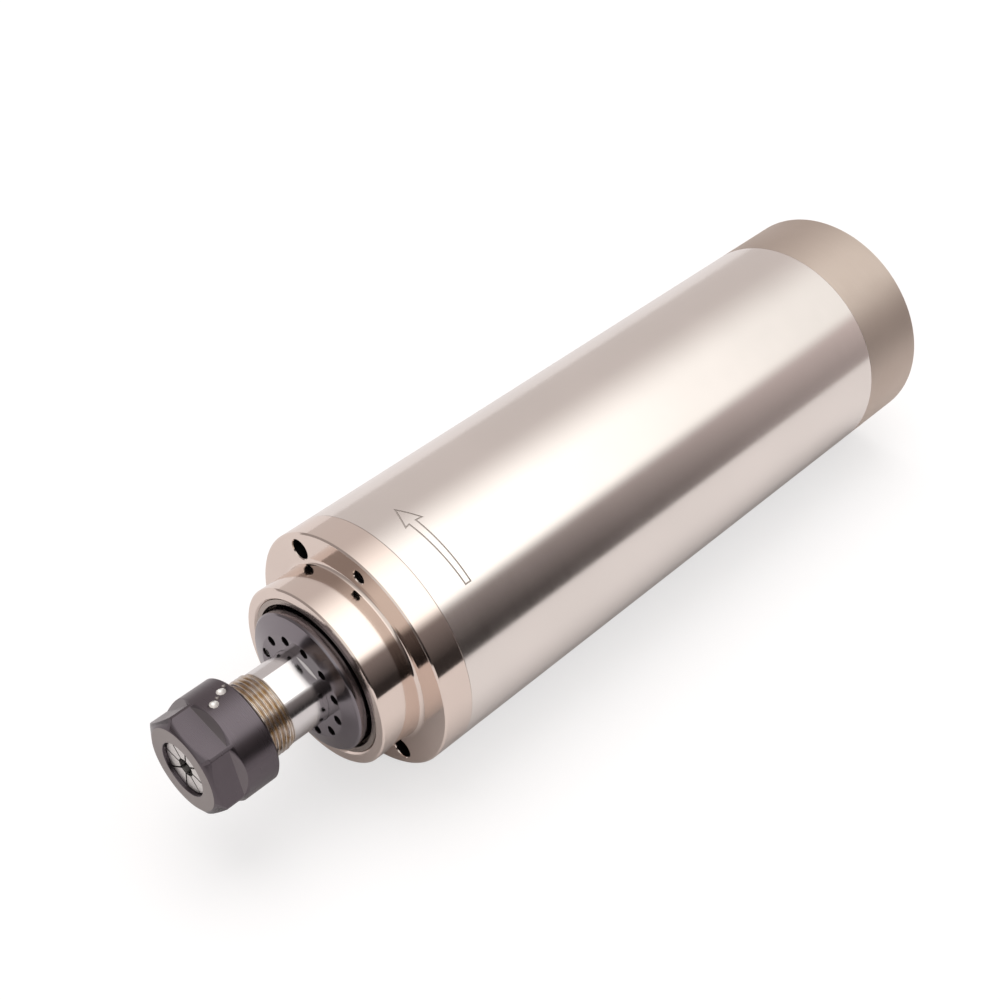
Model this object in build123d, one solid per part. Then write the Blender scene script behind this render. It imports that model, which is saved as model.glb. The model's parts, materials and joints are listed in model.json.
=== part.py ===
from build123d import *
from dataclasses import dataclass
from math import cos, radians, sin, tan
import os

# A water-cooled motor spindle with a collet nose. All sizes are in millimetres.
# The spindle axis is X. The nose points along -X, Z is up, and the origin lies on the axis in the
# front face of the flange. Angles about the axis start at +Y and turn towards +Z.

# ---- Body -------------------------------------------------------------------------------------
body_diameter = 80.0
body_length = 238.0             # flange face to rear face
flange_thickness = 10.5
rear_cap_length = 27.3
tube_wall = 3.0
edge_chamfer = 0.5

# ---- Front housing ----------------------------------------------------------------------------
flange_step = 10.0              # width of the flange face round the pilot boss
pilot_length = 15.0
pilot_root_fillet = 1.5
pilot_wall = 3.8                # between the outside of the boss and its recess
recess_depth = 13.0
recess_chamfer = 0.6
bearing_step = 2.7              # ledge between the recess wall and the front bearing bore
front_lip_height = 3.5          # shoulder behind the front bearings
front_lip_length = 6.0
clamp_ring_thickness = 4.0
clamp_ring_nose = 2.0           # the part that enters the bearing bore
clamp_nose_taper = 1.0          # the nose is this much thicker at its root
spanner_slot_width = 3.0
spanner_slot_depth = 1.5
spanner_slot_reach = 3.0        # from the rim of the clamp ring
spanner_slot_angle = 45.0
spanner_slots = 4

flange_hole_diameter = 6.6
flange_hole_depth = 8.5
flange_hole_edge = 5.5          # from the rim of the flange to the hole centres
flange_hole_angle = 54.2
flange_holes = 2
lock_hole_diameter = 4.2
lock_hole_depth = 8.0
lock_hole_edge = 5.4            # from the rim of the flange to the hole centre
lock_hole_angle = 99.7
lock_screw_length = 6.0
lock_screw_sunk = 1.2
hole_chamfer = 0.25             # on the rims of drilled holes
set_screw_key = 0.5             # key size of a grub screw, as a share of its diameter
set_screw_key_depth = 0.35      # as a share of its length
set_screw_front_chamfer = 0.3
set_screw_tip_chamfer = 0.5

# ---- Cooling sleeve ---------------------------------------------------------------------------
sleeve_wall = 3.95
channel_count = 8
channel_width = 14.0
channel_depth = 2.4
channel_end_land = 9.0          # sleeve left whole beyond each row of channel ends
rear_links = (1, 4, 6)          # gaps between channels joined at the rear; the rest join in front
seal_section = 1.9
seal_groove_width = 2.6
seal_groove_depth = 2.0
front_seal_land = 2.6           # from the end of the front spigot to its seal groove
rear_seal_land = 6.0            # from the rear face of the bearing housing to its seal groove

# ---- Motor ------------------------------------------------------------------------------------
stator_end_room = 22.0          # from each bearing housing to the stator core
stator_bore = 41.0
stator_slots = 24
stator_back_iron = 4.45         # core left outside the slots
slot_width = 3.2
slot_mouth_width = 1.4
slot_mouth_depth = 1.5
coil_gap = 0.25                 # insulation between coil and slot wall
end_turn_length = 14.0
end_turn_lift = 1.3             # end turns stand back from the stator bore
end_turn_sleeve_gap = 2.2       # between the end turns and the cooling sleeve
end_turn_core_gap = 1.0         # between the end turns and the end of the core
end_turn_round = 3.0
end_turn_flat = 0.1             # least share of an end turn's thickness left flat
air_gap = 0.4
rotor_wall = 5.1                # rotor core between the shaft and the air gap
rotor_bars = 18
rotor_bar_diameter = 2.6
rotor_bar_depth = 2.4           # bar centre below the rotor surface
rotor_bar_root = 1.0            # length of a bar inside each end ring
end_ring_length = 6.0
end_ring_lift = 1.3             # end rings stand back from the shaft
end_ring_step = 1.0             # end rings are this much smaller in radius than the core

# ---- Shaft ------------------------------------------------------------------------------------
nose_thread_diameter = 25.0
nose_thread_rear = -32.5        # where the thread ends
nose_overlap = 5.7              # collet face to the front face of the shaft
neck_diameter = 24.0
flat_across = 22.0
flat_length = 11.8
flat_angle = 109.5
neck_collar = 0.6               # round neck left between the flats and the balance ring
front_shoulder_height = 2.5     # above the front bearing seats
rotor_seat_overhang = 8.0       # beyond each end ring of the rotor
step_diameter = 20.0
drawbar_bore = 12.0
drawbar_depth = 12.0
drawbar_tip = 3.0               # cone at the bottom of the drawbar bore
drawbar_relief = 1.0            # behind the collet
shaft_tail_length = 3.0
shaft_chamfer = 0.5

# ---- Front balance ring -----------------------------------------------------------------------
balance_rim_gap = 2.8           # between the disc and the recess wall
balance_ring_front = -18.0
balance_hub_wall = 5.8          # from the shaft to the rim of the hub
balance_hub_height = 1.7
balance_ring_rear_gap = 1.0     # to the clamp ring
balance_sleeve_wall = 2.5
balance_hole_diameter = 3.2
balance_hole_depth = 6.0
balance_hole_inset = 3.2        # from the shaft to the hole centres
balance_holes = 12
balance_hole_angle = 10.0
set_screw_length = 4.0
set_screw_sunk = 0.6

# ---- Collet and nut ---------------------------------------------------------------------------
nut_front = -63.0
nut_length = 21.0
nut_diameter = 34.0
nut_across_flats = 30.0
nut_hex_length = 10.0
nut_hex_angle = 105.0
nut_face_diameter = 27.4
nut_front_chamfer = 2.0
nut_rear_chamfer = 0.6
nut_mouth_land = 0.5
collet_recess = 1.2             # collet face behind the nut face
collet_length = 31.5
collet_diameter = 21.0
collet_face_diameter = 16.8
collet_cone_length = 2.9
collet_cone_angle = 30.0
collet_groove_length = 2.3
collet_groove_diameter = 17.4
collet_taper_angle = 8.0
collet_bore = 6.0
collet_slots = 8
collet_slot_width = 0.6
collet_slot_angle = 8.0
collet_slot_end = 4.0           # metal left beyond the end of a slot
extractor_ring_width = 1.9
extractor_ring_diameter = 23.2
extractor_bore = 19.8
extractor_offset = 0.85         # the ring's bore is off centre, so that a tilted collet snaps in

# ---- Rear end ---------------------------------------------------------------------------------
rear_housing_length = 24.0
rear_lip_length = 4.0
rear_lip_bore = 24.0
preload_gap = 2.0               # room for the disc springs
disc_spring_thickness = 0.5
locknut_length = 7.0
locknut_diameter = 25.0
locknut_slot_depth = 2.0
spring_bore_gap = 0.5           # disc spring to the bore of the lip
spring_rim_gap = 0.3            # disc spring to the bearing bore
cap_wall = 8.0
cap_end_wall = 10.0
cap_screw_edge = 5.6            # from the rim of the cap to the screw centres
cap_screw_angle = 54.2
cap_screws = 4
cap_screw_diameter = 4.0
cap_screw_head_diameter = 7.0
cap_screw_head_length = 4.0
cap_screw_grip = 5.0            # length of thread in the bearing housing
cap_screw_tip_gap = 0.5         # tapped hole beyond the tip of the screw
cap_screw_key = 3.0
cap_screw_key_depth = 2.0
cap_screw_chamfer = 0.4
cap_screw_hole_gap = 0.15       # between screw and through hole, on the radius
counterbore_diameter = 7.6
counterbore_depth = 4.4

# ---- Fittings on the rear face ----------------------------------------------------------------
fitting_axis_angle = 324.2      # direction from the spindle axis to the power socket
socket_radius = 16.0
nipple_radius = 22.0
nipple_step = 3                 # channels between the inlet and the outlet
nipple_thread_diameter = 8.0
nipple_hex = 12.0
nipple_hex_length = 5.0
nipple_hex_chamfer = 0.8
nipple_hex_trim = 0.2           # turned off the corners of the hexagon, on the radius
nipple_root = 1.0               # length of the barbed part inside the hexagon
nipple_neck_diameter = 6.4
nipple_neck_length = 2.0
barb_count = 3
barb_length = 4.5
barb_diameter = 8.0
barb_land = 0.8
nipple_bore = 4.0
pipe_outside = 6.0
pipe_bore = 4.0
pipe_seat_depth = 4.0
port_depth = 12.0               # drilled water port, from the rear face of the bearing housing
socket_thread_diameter = 16.0
socket_flange_diameter = 19.0
socket_flange_length = 2.5
socket_height = 13.0            # above the rear face
socket_bore = 13.0
socket_cavity_depth = 10.0
socket_tail_length = 6.0        # inside the cap
socket_nut_hex = 19.0
socket_nut_length = 3.0
socket_pins = 4
socket_pin_diameter = 1.6
socket_pin_circle = 7.0
socket_pin_angle = 45.0
socket_pin_height = 5.0         # above the insert
socket_pin_tail = 4.0           # behind the insert
socket_key_height = 0.8
socket_key_root = 0.5           # depth of the key inside the wall of the shell
socket_key_width = 1.6
socket_key_step = 1.0           # from the top of the shell down to the key
lead_diameter = 1.8
lead_spread = 2.6               # between leads where they pass the bearing housing
lead_passage_inset = 6.0        # from the cavity wall of the cap to the middle of the passage
lead_passage_diameter = 9.0
lead_bend_start = 0.5           # behind the bearing housing
lead_bend_radius = 2.5

# ---- Fits -------------------------------------------------------------------------------------
seat_gap = 0.05                 # round seats between pieces of one body, on the radius
running_gap = 0.05              # shaft-in-hole fits between bodies that move, on the radius
cone_gap = 0.10                 # between the nut's cone and the collet's cone, on the radius
labyrinth_gap = 0.4
ball_gap = 0.03
pocket_gap = 0.15
cut_over = 1.0                  # how far a cutting tool runs past the surface that it leaves


@dataclass(frozen=True)
class Bearing:
    """Sizes of one ball bearing."""

    bore: float
    outside: float
    width: float
    ball: float
    balls: int

    @property
    def pitch(self):
        """Radius of the ball centres."""
        return (self.bore + self.outside) / 4

    @property
    def shoulder(self):
        """Distance from the ball centres to either race, beside its groove."""
        return self.ball / 2 * shoulder_share


# ---- Radii that follow the body ---------------------------------------------------------------
body_radius = body_diameter / 2
tube_inner = body_radius - tube_wall
spigot_radius = tube_inner - seat_gap
pilot_radius = body_radius - flange_step
recess_radius = pilot_radius - pilot_wall
front_bore_radius = recess_radius - bearing_step
flange_hole_radius = body_radius - flange_hole_edge
lock_hole_radius = body_radius - lock_hole_edge
sleeve_inner = spigot_radius - sleeve_wall
stator_radius = sleeve_inner - seat_gap
cap_cavity_radius = body_radius - cap_wall
cap_screw_radius = body_radius - cap_screw_edge
lead_passage_radius = cap_cavity_radius - lead_passage_inset

front_bearing = Bearing(bore=25.0, outside=2 * front_bore_radius, width=12.0, ball=6.35, balls=14)
rear_bearing = Bearing(bore=15.0, outside=32.0, width=9.0, ball=4.762, balls=11)
front_spacer_length = 8.0
shoulder_share = 0.6            # race shoulder height, as a share of the ball radius
cage_share = 0.45               # half thickness of a cage, as a share of the ball radius
cage_side_web = 1.0
groove_conformity = 0.52        # groove radius over ball diameter

# ---- Radii that follow the shaft and the stator bore ------------------------------------------
front_seat_radius = front_bearing.bore / 2
front_lip_radius = front_bore_radius - front_lip_height
balance_hub_radius = front_seat_radius + balance_hub_wall
balance_hole_radius = front_seat_radius + balance_hole_inset
balance_sleeve_radius = front_seat_radius + balance_sleeve_wall
balance_rim_radius = recess_radius - balance_rim_gap
slot_root_radius = stator_bore / 2 + slot_mouth_depth
slot_tip_radius = stator_radius - stator_back_iron
end_turn_inner = stator_bore / 2 + end_turn_lift
end_turn_outer = sleeve_inner - end_turn_sleeve_gap
rotor_radius = stator_bore / 2 - air_gap
rotor_seat_radius = rotor_radius - rotor_wall
shoulder_radius = front_seat_radius + front_shoulder_height

# ---- Places along the axis --------------------------------------------------------------------
rear_seam = body_length - rear_cap_length

recess_floor = -pilot_length + recess_depth
front_race_a = recess_floor + clamp_ring_nose
front_race_b = front_race_a + front_bearing.width + front_spacer_length
front_race_end = front_race_b + front_bearing.width
front_housing_end = front_race_end + front_lip_length

clamp_ring_front = recess_floor - clamp_ring_thickness
balance_hub_face = balance_ring_front - balance_hub_height
balance_ring_rear = clamp_ring_front - balance_ring_rear_gap

cap_register = 4.7              # length of the cap's register inside the tube
rear_housing_end = rear_seam - cap_register
rear_housing_front = rear_housing_end - rear_housing_length
rear_race_b = rear_housing_end - rear_bearing.width
rear_race_a = rear_race_b - rear_bearing.width
cap_wall_face = body_length - cap_end_wall

stator_front = front_housing_end + stator_end_room
stator_rear = rear_housing_front - stator_end_room

collet_face = nut_front + collet_recess
collet_groove_front = collet_face + collet_cone_length
collet_shoulder = collet_groove_front + collet_groove_length
collet_end = collet_face + collet_length
shaft_front = collet_face + nose_overlap
nut_rear = nut_front + nut_length
taper_slope = tan(radians(collet_taper_angle))
cone_slope = tan(radians(collet_cone_angle))


# ---- Helpers ----------------------------------------------------------------------------------
def turned(*corners):
    """A solid turned about the X axis from its profile, given as (x, radius) corners."""
    profile = make_face(Polyline(*corners, close=True))
    return revolve(profile, Axis.X)


def ring(start, end, inner, outer):
    """A plain ring between two places on the axis."""
    return turned((start, inner), (end, inner), (end, outer), (start, outer))


def rod(start, end, radius):
    """A plain round bar on the axis."""
    return turned((start, 0), (end, 0), (end, radius), (start, radius))


def lathe_bar(start, end, radius, chamfer_start=0.0, chamfer_end=0.0):
    """A round bar on the axis with its end edges chamfered."""
    corners = [(start, 0)]
    if chamfer_start > 0:
        corners += [(start, radius - chamfer_start), (start + chamfer_start, radius)]
    else:
        corners += [(start, radius)]
    if chamfer_end > 0:
        corners += [(end - chamfer_end, radius), (end, radius - chamfer_end)]
    else:
        corners += [(end, radius)]
    return turned(*corners, (end, 0))


def turn_to(shape, angle):
    """The shape turned about the spindle axis."""
    return Rot(angle, 0, 0) * shape


def around(shape, count, start_angle=0.0):
    """Copies of the shape, evenly spaced about the spindle axis."""
    return [turn_to(shape, start_angle + 360 * step / count) for step in range(count)]


def offset_from_axis(shape, radius, angle=0.0):
    """The shape moved out from the spindle axis and turned to an angle."""
    return turn_to(Pos(0, radius, 0) * shape, angle)


def block(start, end, low_radius, high_radius, width):
    """A box that stands out from the axis along +Y."""
    size = (end - start, high_radius - low_radius, width)
    centre = ((start + end) / 2, (low_radius + high_radius) / 2, 0)
    return Pos(*centre) * Box(*size)


def hex_bar(start, end, across_flats):
    """A hexagonal bar on the axis with a flat facing +Y."""
    outline = Plane.YZ * RegularPolygon(across_flats / 2, 6, major_radius=False, rotation=30)
    return Pos(start, 0, 0) * extrude(outline, amount=end - start)


def hole_cutter(start, depth, radius):
    """The cutter of a hole drilled from start, with a chamfered rim."""
    mouth = radius + hole_chamfer
    return turned((start - cut_over, 0), (start - cut_over, mouth), (start, mouth),
                  (start + hole_chamfer, radius), (start + depth, radius), (start + depth, 0))


def grub_screw(start, length, diameter):
    """A grub screw on the axis, with a hexagonal key hole in its front end."""
    screw = lathe_bar(start, start + length, diameter / 2, set_screw_front_chamfer,
                      set_screw_tip_chamfer)
    return screw - hex_bar(start, start + length * set_screw_key_depth,
                           diameter * set_screw_key)


def group(shapes):
    """Separate solids kept together as one node."""
    solids = []
    for shape in shapes:
        solids += shape.solids()
    return Compound(children=solids)


# ---- Ball bearings ----------------------------------------------------------------------------
def race_groove(centre, torus_radius, groove_radius):
    """The ring-shaped cutter of a ball groove."""
    return Pos(centre, 0, 0) * Rot(0, 90, 0) * Torus(torus_radius, groove_radius)


def bearing_races(size, start):
    """The outer and the inner race of a bearing whose front face is at start."""
    centre = start + size.width / 2
    ball_radius = size.ball / 2
    groove = size.ball * groove_conformity
    outer = ring(start, start + size.width, size.pitch + size.shoulder, size.outside / 2)
    outer -= race_groove(centre, size.pitch + ball_radius + ball_gap - groove, groove)
    inner = ring(start, start + size.width, size.bore / 2 + seat_gap,
                 size.pitch - size.shoulder)
    inner -= race_groove(centre, size.pitch - ball_radius - ball_gap + groove, groove)
    return outer, inner


def bearing_balls(size, start):
    """The balls of a bearing."""
    ball = Pos(start + size.width / 2, size.pitch, 0) * Sphere(size.ball / 2)
    return group(around(ball, size.balls))


def bearing_cage(size, start):
    """The one-piece cage of a bearing, with a round pocket for each ball."""
    centre = start + size.width / 2
    half_width = size.ball / 2 + pocket_gap + cage_side_web
    half_thickness = size.ball / 2 * cage_share
    cage = ring(centre - half_width, centre + half_width, size.pitch - half_thickness,
                size.pitch + half_thickness)
    pocket = Cylinder(size.ball / 2 + pocket_gap, size.outside)
    pocket = Pos(centre, size.outside / 2, 0) * Rot(90, 0, 0) * pocket
    return cage - around(pocket, size.balls)


# ---- Standing pieces --------------------------------------------------------------------------
def seal_cutter(start):
    """The groove of an O-ring in the outside of a spigot, from its front edge."""
    return ring(start, start + seal_groove_width, spigot_radius - seal_groove_depth,
                spigot_radius + tube_wall)


def seal_ring(start):
    """An O-ring that lies in the groove with this front edge."""
    radius = seal_section / 2
    centre_radius = spigot_radius - radius
    centre = start + seal_groove_width / 2
    return Pos(centre, 0, 0) * Rot(0, 90, 0) * Torus(centre_radius, radius)


front_seal_start = front_housing_end - front_seal_land - seal_groove_width
rear_seal_start = rear_housing_end - rear_seal_land - seal_groove_width


def front_housing():
    """Flange, pilot boss, recess, spigot and front bearing bore in one turned piece."""
    bearing_radius = front_bore_radius + seat_gap
    blank = turned(
        (-pilot_length, recess_radius + recess_chamfer),
        (-pilot_length, pilot_radius - edge_chamfer),
        (-pilot_length + edge_chamfer, pilot_radius),
        (0, pilot_radius),
        (0, body_radius - edge_chamfer),
        (edge_chamfer, body_radius),
        (flange_thickness, body_radius),
        (flange_thickness, spigot_radius),
        (front_housing_end, spigot_radius),
        (front_housing_end, front_lip_radius),
        (front_race_end, front_lip_radius),
        (front_race_end, bearing_radius),
        (recess_floor, bearing_radius),
        (recess_floor, recess_radius),
        (-pilot_length + recess_chamfer, recess_radius),
    )
    root_edge = [edge for edge in blank.edges().filter_by(GeomType.CIRCLE)
                 if abs(edge.center().X) < 1e-6 and abs(edge.radius - pilot_radius) < 1e-6]
    blank = fillet(root_edge, pilot_root_fillet)
    flange_hole = hole_cutter(0, flange_hole_depth, flange_hole_diameter / 2)
    flange_hole = offset_from_axis(flange_hole, flange_hole_radius)
    lock_hole = hole_cutter(0, lock_hole_depth, lock_hole_diameter / 2)
    lock_hole = offset_from_axis(lock_hole, lock_hole_radius, lock_hole_angle)
    holes = around(flange_hole, flange_holes, flange_hole_angle) + [lock_hole]
    return blank - holes - seal_cutter(front_seal_start)


def front_clamp_ring():
    """Ring in the bottom of the recess, with a nose on the front outer race."""
    outer = recess_radius - seat_gap
    nose_inner = front_bearing.pitch + front_bearing.shoulder
    bore = balance_sleeve_radius + labyrinth_gap
    body = turned(
        (clamp_ring_front, bore), (clamp_ring_front, outer), (recess_floor, outer),
        (recess_floor, front_bore_radius), (front_race_a, front_bore_radius),
        (front_race_a, nose_inner), (recess_floor, nose_inner - clamp_nose_taper),
        (recess_floor, bore),
    )
    slot = block(clamp_ring_front, clamp_ring_front + spanner_slot_depth,
                 outer - spanner_slot_reach, outer + cut_over, spanner_slot_width)
    return body - around(slot, spanner_slots, spanner_slot_angle)


def flange_lock_screw():
    """Grub screw in the small hole of the flange."""
    screw = grub_screw(lock_screw_sunk, lock_screw_length, lock_hole_diameter - 2 * seat_gap)
    return offset_from_axis(screw, lock_hole_radius, lock_hole_angle)


def body_tube():
    """The long outer tube."""
    return ring(flange_thickness, rear_seam, tube_inner, body_radius)


channel_angle = 360 / channel_count
inlet_angle = fitting_axis_angle + 180 - channel_angle * nipple_step / 2
outlet_angle = inlet_angle + channel_angle * nipple_step
channel_floor = spigot_radius - channel_depth
channel_front = front_housing_end + channel_end_land
channel_rear = rear_housing_front - channel_end_land


def cooling_sleeve():
    """Sleeve round the stator, with a row of channels that a link joins to the next one."""
    sleeve = ring(front_housing_end, rear_housing_front, sleeve_inner, spigot_radius)
    cutters = []
    for channel in range(channel_count):
        angle = inlet_angle + channel * channel_angle
        groove = block(channel_front, channel_rear, channel_floor, body_radius, channel_width)
        cutters.append(turn_to(groove, angle))
        link_start = channel_front
        if channel in rear_links:
            link_start = channel_rear - channel_width
        link = block(link_start, link_start + channel_width, channel_floor, body_radius,
                     2 * body_radius * sin(radians(channel_angle / 2)) - channel_width)
        cutters.append(turn_to(link, angle + channel_angle / 2))
    for angle in (inlet_angle, outlet_angle):
        feed = block(channel_rear - channel_width, rear_housing_front, channel_floor,
                     body_radius, pipe_bore)
        cutters.append(turn_to(feed, angle))
    return sleeve - cutters


def slot_cutter():
    """One stator slot with its narrow mouth, as a bar along +Y."""
    mouth = block(stator_front, stator_rear, stator_bore / 2 - cut_over,
                  slot_root_radius + cut_over, slot_mouth_width)
    return mouth + block(stator_front, stator_rear, slot_root_radius, slot_tip_radius, slot_width)


def stator_core():
    """Laminated ring with its coil slots."""
    core = ring(stator_front, stator_rear, stator_bore / 2, stator_radius)
    return core - around(slot_cutter(), stator_slots)


def end_turn(start, end):
    """The bundle of coil ends on one side of the stator, rounded on both rims."""
    bundle = ring(start, end, end_turn_inner, end_turn_outer)
    largest_round = (end_turn_outer - end_turn_inner) * (1 - end_turn_flat) / 2
    return fillet(bundle.edges().filter_by(GeomType.CIRCLE), min(end_turn_round, largest_round))


def stator_windings():
    """Coils in the slots, joined by the end turns."""
    coil = block(stator_front - end_turn_length / 2, stator_rear + end_turn_length / 2,
                 slot_root_radius + coil_gap, slot_tip_radius - coil_gap,
                 slot_width - 2 * coil_gap)
    windings = end_turn(stator_front - end_turn_length, stator_front - end_turn_core_gap)
    windings += end_turn(stator_rear + end_turn_core_gap, stator_rear + end_turn_length)
    return windings + around(coil, stator_slots)


nipple_places = (inlet_angle, outlet_angle)


def rear_bearing_housing():
    """Disc with the rear bearing bore, the water ports and the passage for the leads."""
    bearing_radius = rear_bearing.outside / 2 + seat_gap
    lip_end = rear_housing_front + rear_lip_length
    blank = turned(
        (rear_housing_front, rear_lip_bore / 2), (rear_housing_front, spigot_radius),
        (rear_housing_end, spigot_radius), (rear_housing_end, bearing_radius),
        (lip_end, bearing_radius), (lip_end, rear_lip_bore / 2),
    )
    port_end = rear_housing_end - port_depth
    cutters = [seal_cutter(rear_seal_start)]
    for angle in nipple_places:
        bore = rod(port_end, rear_housing_end, pipe_bore / 2)
        seat = rod(rear_housing_end - pipe_seat_depth, rear_housing_end,
                   pipe_outside / 2 + seat_gap)
        cutters.append(offset_from_axis(bore + seat, nipple_radius, angle))
        outlet = block(port_end - pipe_bore / 2, port_end + pipe_bore / 2, nipple_radius,
                       body_radius, pipe_bore)
        feed = block(rear_housing_front, port_end, channel_floor, body_radius, pipe_bore)
        cutters += [turn_to(outlet, angle), turn_to(feed, angle)]
    passage = rod(rear_housing_front, rear_housing_end, lead_passage_diameter / 2)
    cutters.append(offset_from_axis(passage, lead_passage_radius, fitting_axis_angle))
    tapped = rod(rear_housing_end - cap_screw_grip - cap_screw_tip_gap, rear_housing_end,
                 cap_screw_diameter / 2 + seat_gap)
    tapped = offset_from_axis(tapped, cap_screw_radius)
    cutters += around(tapped, cap_screws, cap_screw_angle)
    return blank - cutters


def preload_springs():
    """Two disc springs, cone against cone, that push the rear outer races."""
    start = rear_housing_front + rear_lip_length
    middle = start + preload_gap / 2
    inner = rear_lip_bore / 2 + spring_bore_gap
    outer = rear_bearing.outside / 2 - spring_rim_gap
    rise = preload_gap / 2 - disc_spring_thickness
    front = turned(
        (start, inner), (start + disc_spring_thickness, inner),
        (start + disc_spring_thickness + rise, outer), (start + rise, outer),
    )
    rear = mirror(front, about=Plane(origin=(middle, 0, 0), z_dir=(1, 0, 0)))
    return group([front, rear])


def rear_cap():
    """Cap behind the rear seam: a cup with a register, screw holes and fitting holes."""
    blank = turned(
        (rear_housing_end, cap_cavity_radius), (rear_housing_end, spigot_radius),
        (rear_seam, spigot_radius), (rear_seam, body_radius),
        (body_length - edge_chamfer, body_radius), (body_length, body_radius - edge_chamfer),
        (body_length, 0), (cap_wall_face, 0), (cap_wall_face, cap_cavity_radius),
    )
    screw_hole = rod(rear_housing_end, body_length, cap_screw_diameter / 2 + cap_screw_hole_gap)
    screw_hole += rod(body_length - counterbore_depth, body_length, counterbore_diameter / 2)
    cutters = around(offset_from_axis(screw_hole, cap_screw_radius), cap_screws,
                     cap_screw_angle)
    for angle in nipple_places:
        hole = rod(cap_wall_face, body_length, nipple_thread_diameter / 2 + seat_gap)
        cutters.append(offset_from_axis(hole, nipple_radius, angle))
    socket_hole = rod(cap_wall_face, body_length, socket_thread_diameter / 2 + seat_gap)
    cutters.append(offset_from_axis(socket_hole, socket_radius, fitting_axis_angle))
    return blank - cutters


def cap_screw():
    """Socket-head screw, with its head in the counterbore."""
    head_seat = body_length - counterbore_depth
    head_end = head_seat + cap_screw_head_length
    screw = rod(rear_housing_end - cap_screw_grip, head_seat, cap_screw_diameter / 2)
    screw += lathe_bar(head_seat, head_end, cap_screw_head_diameter / 2, 0, cap_screw_chamfer)
    screw -= hex_bar(head_end - cap_screw_key_depth, head_end, cap_screw_key)
    return offset_from_axis(screw, cap_screw_radius)


def coolant_pipe():
    """Tube from the cap's end wall to its seat in the bearing housing."""
    pipe = ring(rear_housing_end - pipe_seat_depth, cap_wall_face, pipe_bore / 2,
                pipe_outside / 2)
    return offset_from_axis(pipe, nipple_radius)


def water_nipple(angle):
    """Hose barb: threaded stub, hexagon, neck and a row of barbs."""
    bore = nipple_bore / 2
    neck = nipple_neck_diameter / 2
    barb = barb_diameter / 2
    hex_end = body_length + nipple_hex_length
    start = hex_end + nipple_neck_length
    profile = [(hex_end - nipple_root, bore), (hex_end - nipple_root, neck), (start, neck)]
    for step in range(barb_count):
        foot = start + step * barb_length
        profile += [(foot, barb), (foot + barb_land, barb), (foot + barb_length, neck)]
    tip = start + barb_count * barb_length
    profile += [(tip, bore)]
    nipple = ring(cap_wall_face, body_length, bore, nipple_thread_diameter / 2)
    hexagon = hex_bar(body_length, hex_end, nipple_hex)
    corner_radius = nipple_hex / 2 / cos(radians(30)) - nipple_hex_trim
    hexagon = hexagon & lathe_bar(body_length, hex_end, corner_radius, 0, nipple_hex_chamfer)
    nipple += hexagon - rod(body_length, hex_end, bore)
    nipple += turned(*profile)
    return offset_from_axis(nipple, nipple_radius, angle)


socket_top = body_length + socket_height
insert_top = socket_top - socket_cavity_depth


def on_socket_axis(shape):
    """The shape moved from the spindle axis to the axis of the power socket."""
    return offset_from_axis(shape, socket_radius, fitting_axis_angle)


def power_socket_shell():
    """Metal shell of the socket, with its flange on the rear face."""
    outer = socket_thread_diameter / 2
    inner = socket_bore / 2
    flange_end = body_length + socket_flange_length
    shell = turned(
        (cap_wall_face - socket_tail_length, inner), (cap_wall_face - socket_tail_length, outer),
        (body_length, outer), (body_length, socket_flange_diameter / 2),
        (flange_end, socket_flange_diameter / 2), (flange_end, outer),
        (socket_top - edge_chamfer, outer), (socket_top, outer - edge_chamfer),
        (socket_top, inner),
    )
    key = block(insert_top, socket_top - socket_key_step, inner - socket_key_height,
                inner + socket_key_root, socket_key_width)
    return on_socket_axis(shell + key)


def power_socket_insert():
    """Plastic insert that carries the pins."""
    insert = rod(cap_wall_face - socket_tail_length, insert_top, socket_bore / 2 - seat_gap)
    hole = rod(cap_wall_face - socket_tail_length, insert_top,
               socket_pin_diameter / 2 + seat_gap)
    hole = Pos(0, socket_pin_circle / 2, 0) * hole
    return on_socket_axis(insert - around(hole, socket_pins, socket_pin_angle))


pin_tail_end = cap_wall_face - socket_tail_length - socket_pin_tail


def power_socket_pins():
    """Contact pins with rounded tips."""
    pin = lathe_bar(pin_tail_end, insert_top + socket_pin_height, socket_pin_diameter / 2,
                    0, socket_pin_diameter / 4)
    pins = around(Pos(0, socket_pin_circle / 2, 0) * pin, socket_pins, socket_pin_angle)
    return group([on_socket_axis(pin) for pin in pins])


def power_socket_nut():
    """Hexagonal nut that holds the socket from inside the cap."""
    nut = hex_bar(cap_wall_face - socket_nut_length, cap_wall_face, socket_nut_hex)
    nut -= rod(cap_wall_face - socket_nut_length, cap_wall_face,
               socket_thread_diameter / 2 + seat_gap)
    return on_socket_axis(nut)


def motor_lead(number):
    """One insulated wire from the rear end turn to the tail of a socket pin."""
    start_x = stator_rear + end_turn_length
    bend_x = rear_housing_end + lead_bend_start
    angle = radians(360 * number / socket_pins + socket_pin_angle)
    passage_y = lead_passage_radius + lead_spread * cos(angle)
    passage_z = lead_spread * sin(angle)
    pin_y = socket_radius + socket_pin_circle / 2 * cos(angle)
    pin_z = socket_pin_circle / 2 * sin(angle)
    path = FilletPolyline((start_x, passage_y, passage_z), (bend_x, passage_y, passage_z),
                          (pin_tail_end - lead_diameter, pin_y, pin_z),
                          (pin_tail_end, pin_y, pin_z), radius=lead_bend_radius)
    section = Plane(origin=path @ 0, z_dir=(1, 0, 0)) * Circle(lead_diameter / 2)
    lead = sweep(section, path=path)
    return turn_to(lead, fitting_axis_angle)


# ---- Turning pieces ---------------------------------------------------------------------------
def collet_radius(x):
    """Radius of the collet's long taper at x."""
    return collet_diameter / 2 - (x - collet_shoulder) * taper_slope


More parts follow.
